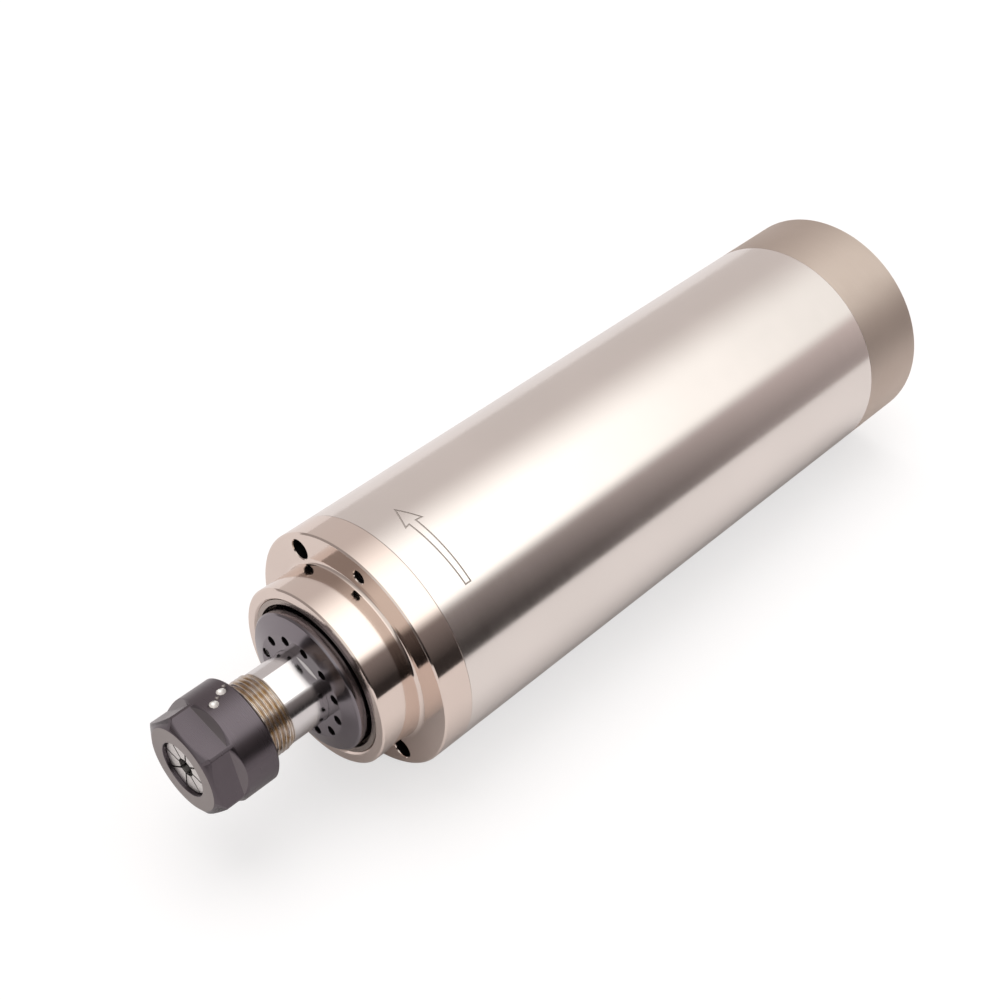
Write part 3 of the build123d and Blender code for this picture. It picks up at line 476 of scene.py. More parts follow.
# ---- Shapes -----------------------------------------------------------------------------------
def linked(name: str, data: bpy.types.ID) -> bpy.types.Object:
    """Puts a new object into the scene.

    Args:
        name: Name of the object.
        data: Its mesh, lamp or camera.

    Returns:
        The object, at the origin.
    """
    item = bpy.data.objects.new(name, data)
    bpy.context.scene.collection.objects.link(item)
    return item


@dataclass(frozen=True)
class Extent:
    """Where a frame node reaches, in millimetres."""

    low: Vector
    high: Vector

    @classmethod
    def of(cls, node: str) -> "Extent":
        """The extent of the frame node with this name."""
        low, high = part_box(node)
        return cls(low / MM, high / MM)


def beside_axis(angle: float, radius: float, along: float) -> Vector:
    """The point at an angle in degrees from +Y towards +Z, a radius and a place along the axis."""
    turn = math.radians(angle)
    return Vector((along, radius * math.cos(turn), radius * math.sin(turn)))


def rounded(corners: Sequence[Corner]) -> list[Vector]:
    """Rounds each corner of a closed outline by its own radius.

    Args:
        corners: Place along the axis, radius and rounding of each corner.

    Returns:
        The outline's points.
    """
    points = []
    for index, (along, radius, rounding) in enumerate(corners):
        here = Vector((along, radius))
        if rounding <= 0:
            points.append(here)
            continue
        before = Vector(corners[index - 1][:2]) - here
        after = Vector(corners[(index + 1) % len(corners)][:2]) - here
        reach = rounding / math.tan(before.angle(after) / 2)
        reach = min(reach, CORNER_SHARE * before.length, CORNER_SHARE * after.length)
        start, end = here + before.normalized() * reach, here + after.normalized() * reach
        for step in range(ARC_STEPS + 1):
            share = step / ARC_STEPS
            points.append(start * (1 - share) ** 2 + here * 2 * share * (1 - share) + end * share * share)
    return points


def meshed(build: bmesh.types.BMesh, name: str) -> bpy.types.Mesh:
    """Writes a shape into a new mesh and frees it.

    Args:
        build: The shape.
        name: Name of the mesh.

    Returns:
        The mesh.
    """
    mesh = bpy.data.meshes.new(name)
    build.to_mesh(mesh)
    build.free()
    return mesh


def turned(name: str, corners: Sequence[Corner], segments: int, slot: int = 0) -> bpy.types.Mesh:
    """A closed solid turned about the X axis.

    Args:
        name: Name of the mesh.
        corners: Its outline as place along the axis, radius and rounding, in millimetres.
        segments: Faces round the axis.
        slot: Material slot of its faces.

    Returns:
        The mesh, in metres, with faces outwards.
    """
    outline = rounded(corners)
    build = bmesh.new()
    rows = []
    for point in outline:
        if point.y < ON_AXIS:
            rows.append([build.verts.new((point.x * MM, 0, 0))] * segments)
            continue
        turns = (2 * math.pi * step / segments for step in range(segments))
        rows.append([build.verts.new((point.x * MM, point.y * MM * math.cos(turn),
                                      point.y * MM * math.sin(turn))) for turn in turns])
    for row, following in zip(rows, rows[1:] + rows[:1]):
        for step in range(segments):
            after = (step + 1) % segments
            ring = (row[step], row[after], following[after], following[step])
            face = list(dict.fromkeys(ring))
            if len(face) > 2:
                build.faces.new(face).material_index = slot
    bmesh.ops.recalc_face_normals(build, faces=build.faces)
    return meshed(build, name)


def drill(name: str, start: float, radius: float, depth: float, chamfer: float, tip: float,
          sides: int) -> bpy.types.Mesh:
    """The tool of one chamfered hole that runs along the axis.

    Args:
        name: Name of the mesh.
        start: Place of the face that is drilled, in millimetres.
        radius: Radius of the hole.
        depth: Its depth.
        chamfer: Width of the chamfer at its mouth.
        tip: Length of the cone at its bottom.
        sides: Faces round it.

    Returns:
        The mesh, in metres.
    """
    mouth = radius + chamfer
    return turned(name, [
        (start - PAST, 0, 0), (start - PAST, mouth, 0), (start, mouth, 0), (start + chamfer, radius, 0),
        (start + depth, radius, 0), (start + depth + tip, 0, 0)], sides)


def bar(name: str, low: Sequence[float], high: Sequence[float]) -> bpy.types.Mesh:
    """A plain block, used as a milling tool or a rib.

    Args:
        name: Name of the mesh.
        low: Its lowest corner, in millimetres.
        high: Its highest corner.

    Returns:
        The mesh, in metres.
    """
    build = bmesh.new()
    bmesh.ops.create_cube(build, size=1.0)
    size = Vector(high) - Vector(low)
    centre = (Vector(high) + Vector(low)) / 2
    bmesh.ops.transform(build, matrix=Matrix.Translation(centre * MM) @ Matrix.Diagonal((*(size * MM), 1)),
                        verts=build.verts)
    return meshed(build, name)


def placed(mesh: bpy.types.Mesh, angle: float, radius: float, along: float = 0.0) -> bpy.types.Mesh:
    """Moves a mesh made on the axis out to a place beside it.

    Args:
        mesh: The mesh, which is changed.
        angle: Degrees from +Y towards +Z.
        radius: Distance from the axis, in millimetres.
        along: How far it moves along the axis, in millimetres.

    Returns:
        The same mesh.
    """
    out = Matrix.Translation(Vector((along, radius, 0)) * MM)
    mesh.transform(Matrix.Rotation(math.radians(angle), 4, "X") @ out)
    return mesh


def paint(mesh: bpy.types.Mesh, slot: int, chosen: Callable[[bpy.types.MeshPolygon], bool]) -> None:
    """Moves some faces to another material slot.

    Args:
        mesh: The mesh, which is changed.
        slot: The slot that they get.
        chosen: Tells which faces they are.
    """
    for polygon in mesh.polygons:
        if chosen(polygon):
            polygon.material_index = slot


def merged(name: str, meshes: Sequence[bpy.types.Mesh]) -> bpy.types.Mesh:
    """Joins meshes into one.

    Args:
        name: Name of the new mesh.
        meshes: The meshes, which are removed.

    Returns:
        The joined mesh.
    """
    build = bmesh.new()
    for mesh in meshes:
        build.from_mesh(mesh)
        bpy.data.meshes.remove(mesh)
    return meshed(build, name)


def fill_slots(mesh: bpy.types.Mesh, materials: Sequence[bpy.types.Material]) -> None:
    """Sets a mesh's material slots and keeps the slot number of every face.

    Args:
        mesh: The mesh, which is changed.
        materials: Its materials in order.
    """
    for index, material in enumerate(materials):
        if index < len(mesh.materials):
            mesh.materials[index] = material
        else:
            mesh.materials.append(material)


def stand(name: str, mesh: bpy.types.Mesh, *finishes: Finish) -> bpy.types.Object:
    """Puts a mesh into the scene with its finishes.

    Args:
        name: Name of the object.
        mesh: Its mesh.
        finishes: Its material slots in order.

    Returns:
        The object, at the origin.
    """
    piece = linked(name, mesh)
    fill_slots(mesh, [finish.material() for finish in finishes])
    return piece


def settle(piece: bpy.types.Object) -> None:
    """Turns what a piece's modifiers make into its own plain mesh.

    Args:
        piece: The piece, which is changed.
    """
    view = bpy.context.evaluated_depsgraph_get()
    view.update()
    plain = bpy.data.meshes.new_from_object(piece.evaluated_get(view))
    plain.name = piece.name
    piece.modifiers.clear()
    old, piece.data = piece.data, plain
    bpy.data.meshes.remove(old)


def cut(piece: bpy.types.Object, tool: bpy.types.Mesh) -> None:
    """Cuts a piece with a tool.

    Args:
        piece: The piece, which is changed.
        tool: The tool's mesh, which is removed.
    """
    helper = stand(piece.name + "_tool", tool)
    fill_slots(tool, piece.data.materials)
    modifier = piece.modifiers.new("tool", "BOOLEAN")
    modifier.operation = "DIFFERENCE"
    modifier.solver = "EXACT"
    modifier.object = helper
    settle(piece)
    bpy.data.objects.remove(helper)
    bpy.data.meshes.remove(tool)


def attach(piece: bpy.types.Object, shell: bpy.types.Mesh) -> None:
    """Adds a closed shell that starts inside a piece.

    Args:
        piece: The piece, which is changed.
        shell: The shell's mesh, which is removed.
    """
    build = bmesh.new()
    build.from_mesh(piece.data)
    build.from_mesh(shell)
    build.to_mesh(piece.data)
    build.free()
    bpy.data.meshes.remove(shell)


def smooth(piece: bpy.types.Object, bevel: float = 0.0, slot: int = -1) -> None:
    """Shades a piece as a smooth machined solid with crisp edges.

    Args:
        piece: The piece, which is changed.
        bevel: Width of the bevel on its sharp edges, in millimetres.
        slot: Material slot of the bevel, or minus one for that of the faces beside it.
    """
    if bevel > 0:
        modifier = piece.modifiers.new("bevel", "BEVEL")
        modifier.width = bevel * MM
        modifier.segments = BEVEL_STEPS
        modifier.limit_method = "ANGLE"
        modifier.angle_limit = SHARP_ANGLE
        modifier.miter_outer = "MITER_ARC"
        modifier.material = slot
        settle(piece)
    mesh = piece.data
    mesh.polygons.foreach_set("use_smooth", [True] * len(mesh.polygons))
    mesh.set_sharp_from_angle(angle=SHARP_ANGLE)
    weighted = piece.modifiers.new("normals", "WEIGHTED_NORMAL")
    weighted.keep_sharp = True
    weighted.weight = FACE_WEIGHT
    settle(piece)


def true_round(piece: bpy.types.Object, radius: float) -> None:
    """Gives the corners on a cylinder about the X axis their exact radial normals.

    Args:
        piece: The piece, which is changed.
        radius: Radius of the cylinder, in millimetres.
    """
    mesh = piece.data
    normals = [corner.vector.copy() for corner in mesh.corner_normals]
    for polygon in mesh.polygons:
        for loop in polygon.loop_indices:
            out = mesh.vertices[mesh.loops[loop].vertex_index].co.copy()
            out.x = 0
            near = abs(out.length - radius * MM) < ROUND_REACH * MM
            if near and polygon.normal.dot(out) > ROUND_FACING * out.length:
                normals[loop] = out.normalized()
    mesh.normals_split_custom_set(normals)


# ---- Repeated and rule-shaped geometry --------------------------------------------------------
class GeometryTree:
    """A Geometry Nodes tree with named inputs, and the calls that run it."""

    title = "tree"
    sockets: dict[str, tuple[str, Any]] = {}

    def __init__(self) -> None:
        """Builds the tree."""
        self.tree = bpy.data.node_groups.new(self.title, "GeometryNodeTree")
        self.tree.interface.new_socket("Geometry", in_out="OUTPUT", socket_type="NodeSocketGeometry")
        for name, (kind, value) in self.sockets.items():
            socket = self.tree.interface.new_socket(name, in_out="INPUT", socket_type=kind)
            if value is not None:
                socket.default_value = value
        self.tree.interface.new_socket("Finish", in_out="INPUT", socket_type="NodeSocketMaterial")
        sketch = NodeSketch(self.tree)
        self.inputs = sketch.add("NodeGroupInput").outputs
        shape = self.draw(sketch)
        real = sketch.add("GeometryNodeRealizeInstances", {0: shape})
        dressed = sketch.add("GeometryNodeSetMaterial",
                             {0: real.outputs[0], "Material": self.inputs["Finish"]})
        sketch.add("NodeGroupOutput", {0: dressed.outputs[0]})

    def draw(self, sketch: NodeSketch) -> bpy.types.NodeSocket:
        """Adds the nodes that make the shape and gives its geometry socket."""
        raise NotImplementedError

    def run(self, name: str, finish: Finish, **values: Any) -> bpy.types.Mesh:
        """Runs the tree and keeps its result as a plain mesh.

        Args:
            name: Name of the mesh.
            finish: The finish that its faces get.
            values: Values of the named inputs, with underscores for spaces.

        Returns:
            The mesh.
        """
        carrier = linked(name, bpy.data.meshes.new(name))
        modifier = carrier.modifiers.new(self.title, "NODES")
        modifier.node_group = self.tree
        given = {key.replace("_", " "): value for key, value in values.items()}
        given["Finish"] = finish.material()
        for item in self.tree.interface.items_tree:
            if item.in_out == "INPUT" and item.name in given:
                modifier[item.identifier] = given[item.name]
        view = bpy.context.evaluated_depsgraph_get()
        view.update()
        mesh = bpy.data.meshes.new_from_object(carrier.evaluated_get(view))
        empty = carrier.data
        bpy.data.objects.remove(carrier)
        bpy.data.meshes.remove(empty)
        mesh.materials.clear()
        mesh.materials.append(finish.material())
        return mesh


class RingOfCopies(GeometryTree):
    """Copies of one shape, evenly spaced about the spindle axis."""

    title = "ring_of_copies"
    sockets = {"Shape": ("NodeSocketObject", None), "Count": ("NodeSocketInt", 4),
               "Angle": ("NodeSocketFloat", 0.0)}

    def draw(self, sketch: NodeSketch) -> bpy.types.NodeSocket:
        """Adds one point per copy and turns each copy by its index.

        Args:
            sketch: The tree.

        Returns:
            The instances.
        """
        points = sketch.add("GeometryNodePoints", {"Count": self.inputs["Count"]})
        shape = sketch.add("GeometryNodeObjectInfo", {"Object": self.inputs["Shape"]})
        step = sketch.math("DIVIDE", 2 * math.pi, self.inputs["Count"])
        index = sketch.add("GeometryNodeInputIndex").outputs[0]
        turn = sketch.math("ADD", sketch.math("MULTIPLY", index, step), self.inputs["Angle"])
        copies = sketch.add("GeometryNodeInstanceOnPoints", {
            "Points": points.outputs[0], "Instance": shape.outputs["Geometry"],
            "Rotation": sketch.joined(turn)})
        return copies.outputs[0]

    def around(self, name: str, mesh: bpy.types.Mesh, count: int, angle: float,
               finish: Finish) -> bpy.types.Mesh:
        """Copies a mesh about the axis.

        Args:
            name: Name of the result.
            mesh: The shape at zero degrees, which is removed.
            count: Number of copies.
            angle: Degrees of the first copy.
            finish: The finish of all copies.

        Returns:
            One mesh with every copy.
        """
        pattern = linked(name + "_pattern", mesh)
        result = self.run(name, finish, Shape=pattern, Count=count, Angle=math.radians(angle))
        bpy.data.objects.remove(pattern)
        bpy.data.meshes.remove(mesh)
        return result


class ScrewThread(GeometryTree):
    """A sleeve with a right-hand screw thread on its outside, about the spindle axis."""

    title = "screw_thread"
    sockets = {"Start": ("NodeSocketFloat", 0.0), "Length": ("NodeSocketFloat", 0.01),
               "Crest Radius": ("NodeSocketFloat", 0.01), "Depth": ("NodeSocketFloat", 0.0008),
               "Inner Radius": ("NodeSocketFloat", 0.005), "Pitch": ("NodeSocketFloat", 0.0015),
               "Runout": ("NodeSocketFloat", 0.0008), "Rows": ("NodeSocketInt", 120),
               "Columns": ("NodeSocketInt", 129)}
    columns: int = 129              # points round the axis, the last one on the first
    flanks: tuple[float, float] = (0.2, 0.88)       # where a wave from 0 to 1 leaves root and meets crest
    runout: float = 0.6             # of the pitch, over which the thread starts and ends
    half_row: float = 0.5
    other_rows: float = 4.0         # rows that take no step along the outside
    weld: float = 1e-6              # metres

    def draw(self, sketch: NodeSketch) -> bpy.types.NodeSocket:
        """Wraps a grid round the axis and lifts it along a helix.

        The first row is the inner edge at the start and the last row meets it again. The row before
        the last is the inner edge at the end, and all others lie outside.

        Args:
            sketch: The tree.

        Returns:
            The closed sleeve.
        """
        given = self.inputs
        rows, columns, length = given["Rows"], given["Columns"], given["Length"]
        grid = sketch.add("GeometryNodeMeshGrid", {"Vertices X": rows, "Vertices Y": columns})
        index = sketch.add("GeometryNodeInputIndex").outputs[0]
        row = sketch.math("FLOOR", sketch.math("DIVIDE", sketch.math("ADD", index, self.half_row), columns))
        column = sketch.math("SUBTRACT", index, sketch.math("MULTIPLY", row, columns))
        turn = sketch.math("DIVIDE", column, sketch.math("SUBTRACT", columns, 1.0))
        share = sketch.math("DIVIDE", sketch.math("SUBTRACT", row, 1.0),
                            sketch.math("SUBTRACT", rows, self.other_rows))
        share = sketch.spread(share, 0.0, 1.0, 0.0, 1.0)
        last = sketch.math("GREATER_THAN", row, sketch.math("SUBTRACT", rows, 1.0 + self.half_row))
        along = sketch.math("MULTIPLY", sketch.math("MULTIPLY", share, sketch.math("SUBTRACT", 1.0, last)),
                            length)
        phase = sketch.math("FRACT", sketch.math("ADD", sketch.math("DIVIDE", along, given["Pitch"]), turn))
        wave = sketch.math("ABSOLUTE", sketch.math("SUBTRACT", sketch.math("MULTIPLY", phase, 2.0), 1.0))
        ridge = sketch.spread(wave, *self.flanks, 0.0, 1.0)
        to_end = sketch.math("MINIMUM", along, sketch.math("SUBTRACT", length, along))
        fade = sketch.math("MINIMUM", sketch.math("DIVIDE", to_end, given["Runout"]), 1.0)
        lift = sketch.math("MULTIPLY", sketch.math("MULTIPLY", ridge, fade), given["Depth"])
        root = sketch.math("SUBTRACT", given["Crest Radius"], given["Depth"])
        outer = sketch.math("ADD", root, lift)
        first = sketch.math("LESS_THAN", row, self.half_row)
        late = sketch.math("GREATER_THAN", row, sketch.math("SUBTRACT", rows, 2.0 + self.half_row))
        inside = sketch.math("MAXIMUM", first, late)
        radius = sketch.math("ADD", sketch.math("MULTIPLY", outer, sketch.math("SUBTRACT", 1.0, inside)),
                             sketch.math("MULTIPLY", given["Inner Radius"], inside))
        angle = sketch.math("MULTIPLY", turn, 2 * math.pi)
        place = sketch.joined(sketch.math("ADD", given["Start"], along),
                              sketch.math("MULTIPLY", radius, sketch.math("COSINE", angle)),
                              sketch.math("MULTIPLY", radius, sketch.math("SINE", angle)))
        moved = sketch.add("GeometryNodeSetPosition", {"Geometry": grid.outputs[0], "Position": place})
        closed = sketch.add("GeometryNodeMergeByDistance",
                            {"Geometry": moved.outputs[0], "Distance": self.weld})
        return closed.outputs[0]

    def sleeve(self, name: str, finish: Finish, start: float, length: float, crest: float, depth: float,
               inner: float, pitch: float, rows: int) -> bpy.types.Mesh:
        """A threaded sleeve.

        Args:
            name: Name of the mesh.
            finish: Its finish.
            start: Where it starts along the axis, in millimetres.
            length: Its length.
            crest: Radius over the crests.
            depth: Depth of the thread.
            inner: Inner radius of the sleeve.
            pitch: Distance between crests.
            rows: Rings of points along it.

        Returns:
            The mesh, with faces outwards.
        """
        mesh = self.run(name, finish, Start=start * MM, Length=length * MM, Crest_Radius=crest * MM,
                        Depth=depth * MM, Inner_Radius=inner * MM, Pitch=pitch * MM,
                        Runout=pitch * MM * self.runout, Rows=rows, Columns=self.columns)
        build = bmesh.new()
        build.from_mesh(mesh)
        bmesh.ops.recalc_face_normals(build, faces=build.faces)
        build.to_mesh(mesh)
        build.free()
        return mesh


# ---- Sub-assemblies ---------------------------------------------------------------------------
# Their sizes are in millimetres, and their angles in degrees from +Y towards +Z.
@dataclass
class Workshop:
    """The geometry trees that the sub-assemblies share."""

    copies: RingOfCopies
    threads: ScrewThread


def dress(piece: bpy.types.Object, body: str, slot: str, *nodes: str) -> bpy.types.Object:
    """Makes a finished piece ride on its body in place of frame nodes.

    Args:
        piece: The finished piece.
        body: The body that it rides on.
        slot: Name of a material slot; not used.
        nodes: The frame nodes that it stands for.

    Returns:
        The piece.
    """
    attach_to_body(piece, body)
    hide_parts(*nodes)
    log.info("%s on %s: %d faces", piece.name, body, len(piece.data.polygons))
    return piece


@dataclass
class BodyTube:
    """The ground tube with the engraved arrow that gives the sense of rotation."""

    wall: float = 3.0
    edge: float = 0.18              # rounding of the seam edges
    segments: int = 288
    seam: float = 0.06              # gap towards the flange
    line_width: float = 0.50
    line_depth: float = 0.12
    line_step: float = 0.8          # arc between points of the engraved line
    line_slot: int = 1
    arrow_tip: tuple[float, float] = (22.5, 86.1)       # place along the axis, angle
    arrow_barbs: tuple[float, float, float] = (19.5, 26.0, 97.0)
    arrow_neck: tuple[float, float, float] = (21.2, 23.8, 96.5)
    arrow_tail: tuple[float, float, float] = (22.0, 24.0, 131.4)

    def arrow_corners(self, radius: float) -> list[Vector]:
        """The corners of the arrow, laid out flat.

        Args:
            radius: Outside radius of the tube, in millimetres.

        Returns:
            Place along the axis and arc length of each corner, in millimetres.
        """
        left_barb, right_barb, barb_angle = self.arrow_barbs
        left_neck, right_neck, neck_angle = self.arrow_neck
        left_tail, right_tail, tail_angle = self.arrow_tail
        corners = [self.arrow_tip, (right_barb, barb_angle), (right_neck, neck_angle),
                   (right_tail, tail_angle), (left_tail, tail_angle), (left_neck, neck_angle),
                   (left_barb, barb_angle)]
        return [Vector((along, radius * math.radians(angle))) for along, angle in corners]

    def arrow_tool(self, radius: float) -> bpy.types.Mesh:
        """The tool that engraves the outline of the arrow, with mitred corners.

        Args:
            radius: Outside radius of the tube, in millimetres.

        Returns:
            A closed band that follows the tube's surface.
        """
        flat = self.arrow_corners(radius)
        half = self.line_width / 2
        sides = []
        for index, here in enumerate(flat):
            before = (here - flat[index - 1]).normalized()
            after = (flat[(index + 1) % len(flat)] - here).normalized()
            normal_before, normal_after = Vector((-before.y, before.x)), Vector((-after.y, after.x))
            mitre = (normal_before + normal_after) / (1 + normal_before.dot(normal_after))
            sides.append((here + mitre * half, here - mitre * half))
        build = bmesh.new()
        rings = []
        for (left, right), (next_left, next_right) in zip(sides, sides[1:] + sides[:1]):
            steps = max(1, round(abs(next_left.y - left.y) / self.line_step))
            for step in range(steps):
                share = step / steps
                ring = []
                for point in (left.lerp(next_left, share), right.lerp(next_right, share)):
                    angle = math.degrees(point.y / radius)
                    for height in (radius + self.line_depth, radius - self.line_depth):
                        ring.append(build.verts.new(beside_axis(angle, height, point.x) * MM))
                rings.append(ring)
        for ring, following in zip(rings, rings[1:] + rings[:1]):
            # Each pair is one side of the band's four-cornered section.
            for first, second in ((0, 1), (1, 3), (3, 2), (2, 0)):
                corners = (ring[first], ring[second], following[second], following[first])
                build.faces.new(corners).material_index = self.line_slot
        bmesh.ops.recalc_face_normals(build, faces=build.faces)
        return meshed(build, "arrow_tool")

    def build(self) -> bpy.types.Object:
        """Builds the tube and engraves the arrow.

        Returns:
            The finished piece.
        """
        extent = Extent.of("body_tube")
        outer = extent.high.y
        inner = outer - self.wall
        front = extent.low.x + self.seam
        mesh = turned("ground_tube", [
            (front, inner, 0), (front, outer, self.edge),
            (extent.high.x, outer, self.edge), (extent.high.x, inner, 0)], self.segments)
        tube = stand("ground_tube", mesh, GROUND_PLATE, ETCHED_LINE)
        cut(tube, self.arrow_tool(outer))
        smooth(tube)
        true_round(tube, outer)
        return dress(tube, "housing", "polished_steel", "body_tube")


@dataclass
class FrontHousing:
    """Flange, pilot boss and recess, with the flange holes and the ring round the balance disc."""

    flange_length: float = 10.5
    flange_step: float = 10.0
    pilot_wall: float = 3.8
    root_fillet: float = 1.5
    recess_depth: float = 13.0
    chamfer: float = 0.5
    recess_chamfer: float = 0.6
    spigot_gap: float = 3.05
    bearing_step: float = 2.65
    lip_length: float = 6.0
    lip_radius: float = 20.0
    edge: float = 0.12
    segments: int = 288
    hole_radius: float = 3.3
    hole_edge: float = 5.5
    hole_depth: float = 8.5
    hole_angles: tuple[float, float] = (54.2, 234.2)
    hole_chamfer: float = 0.25
    hole_tip: float = 0.5           # length of a hole's cone against its radius
    hole_sides: int = 64
    hole_shade_slot: int = 1
    lock_radius: float = 2.1
    lock_edge: float = 5.4
    lock_depth: float = 8.0
    lock_angle: float = 99.7
    ring_start: float = 0.4         # behind the boss's face
    ring_wall: float = 1.65
    ring_length: float = 3.0
    ring_slot: int = 2

    def hole_tool(self, name: str, radius: float, depth: float, angle: float,
                  place: float) -> bpy.types.Mesh:
        """The tool of one hole in the flange face.

        Args:
            name: Name of the mesh.
            radius: Radius of the hole, in millimetres.
            depth: Its depth.
            angle: Its direction from the spindle axis, in degrees.
            place: Its distance from the spindle axis.

        Returns:
            The tool's mesh.
        """
        tool = drill(name, 0, radius, depth, self.hole_chamfer, radius * self.hole_tip, self.hole_sides)
        # The bore behind the chamfer gets the near-black painted shade.
        paint(tool, self.hole_shade_slot, lambda face: face.center.x > self.hole_chamfer * MM)
        return placed(tool, angle, place)

    def build(self) -> bpy.types.Object:
        """Builds the housing.

        Returns:
            The finished piece.
        """
        extent = Extent.of("front_housing")
        body = extent.high.y
        front, rear = extent.low.x, extent.high.x
        pilot = body - self.flange_step
        recess = pilot - self.pilot_wall
        floor = front + self.recess_depth
        spigot = body - self.spigot_gap
        bearing = recess - self.bearing_step
        lip = rear - self.lip_length
        small = self.edge
        # The flange's front face lies at zero along the axis.
        mesh = turned("nose_housing", [
            (front, recess + self.recess_chamfer, small), (front, pilot - self.chamfer, small),
            (front + self.chamfer, pilot, small), (0, pilot, self.root_fillet),
            (0, body - self.chamfer, small), (self.chamfer, body, small),
            (self.flange_length, body, small), (self.flange_length, spigot, 0),
            (rear, spigot, 0), (rear, self.lip_radius, 0), (lip, self.lip_radius, 0),
            (lip, bearing, 0), (floor, bearing, 0), (floor, recess, small),
            (front + self.recess_chamfer, recess, small)], self.segments)
        housing = stand("nose_housing", mesh, MIRROR_PLATE, HOLE_SHADE, RING_STEEL)
        tools = [self.hole_tool("flange_drill", self.hole_radius, self.hole_depth, angle,
                                body - self.hole_edge) for angle in self.hole_angles]
        tools.append(self.hole_tool("lock_drill", self.lock_radius, self.lock_depth, self.lock_angle,
                                    body - self.lock_edge))
        cut(housing, merged("flange_drills", tools))
        smooth(housing)
        true_round(housing, body)
        true_round(housing, pilot)
        near, outer = front + self.ring_start, recess - self.edge / 2
        far, inner = near + self.ring_length, outer - self.ring_wall
        attach(housing, turned("recess_ring", [
            (near, inner, small), (near, outer, small), (far, outer, 0), (far, inner, 0)],
            self.segments, self.ring_slot))
        return dress(housing, "housing", "polished_steel", "front_housing")


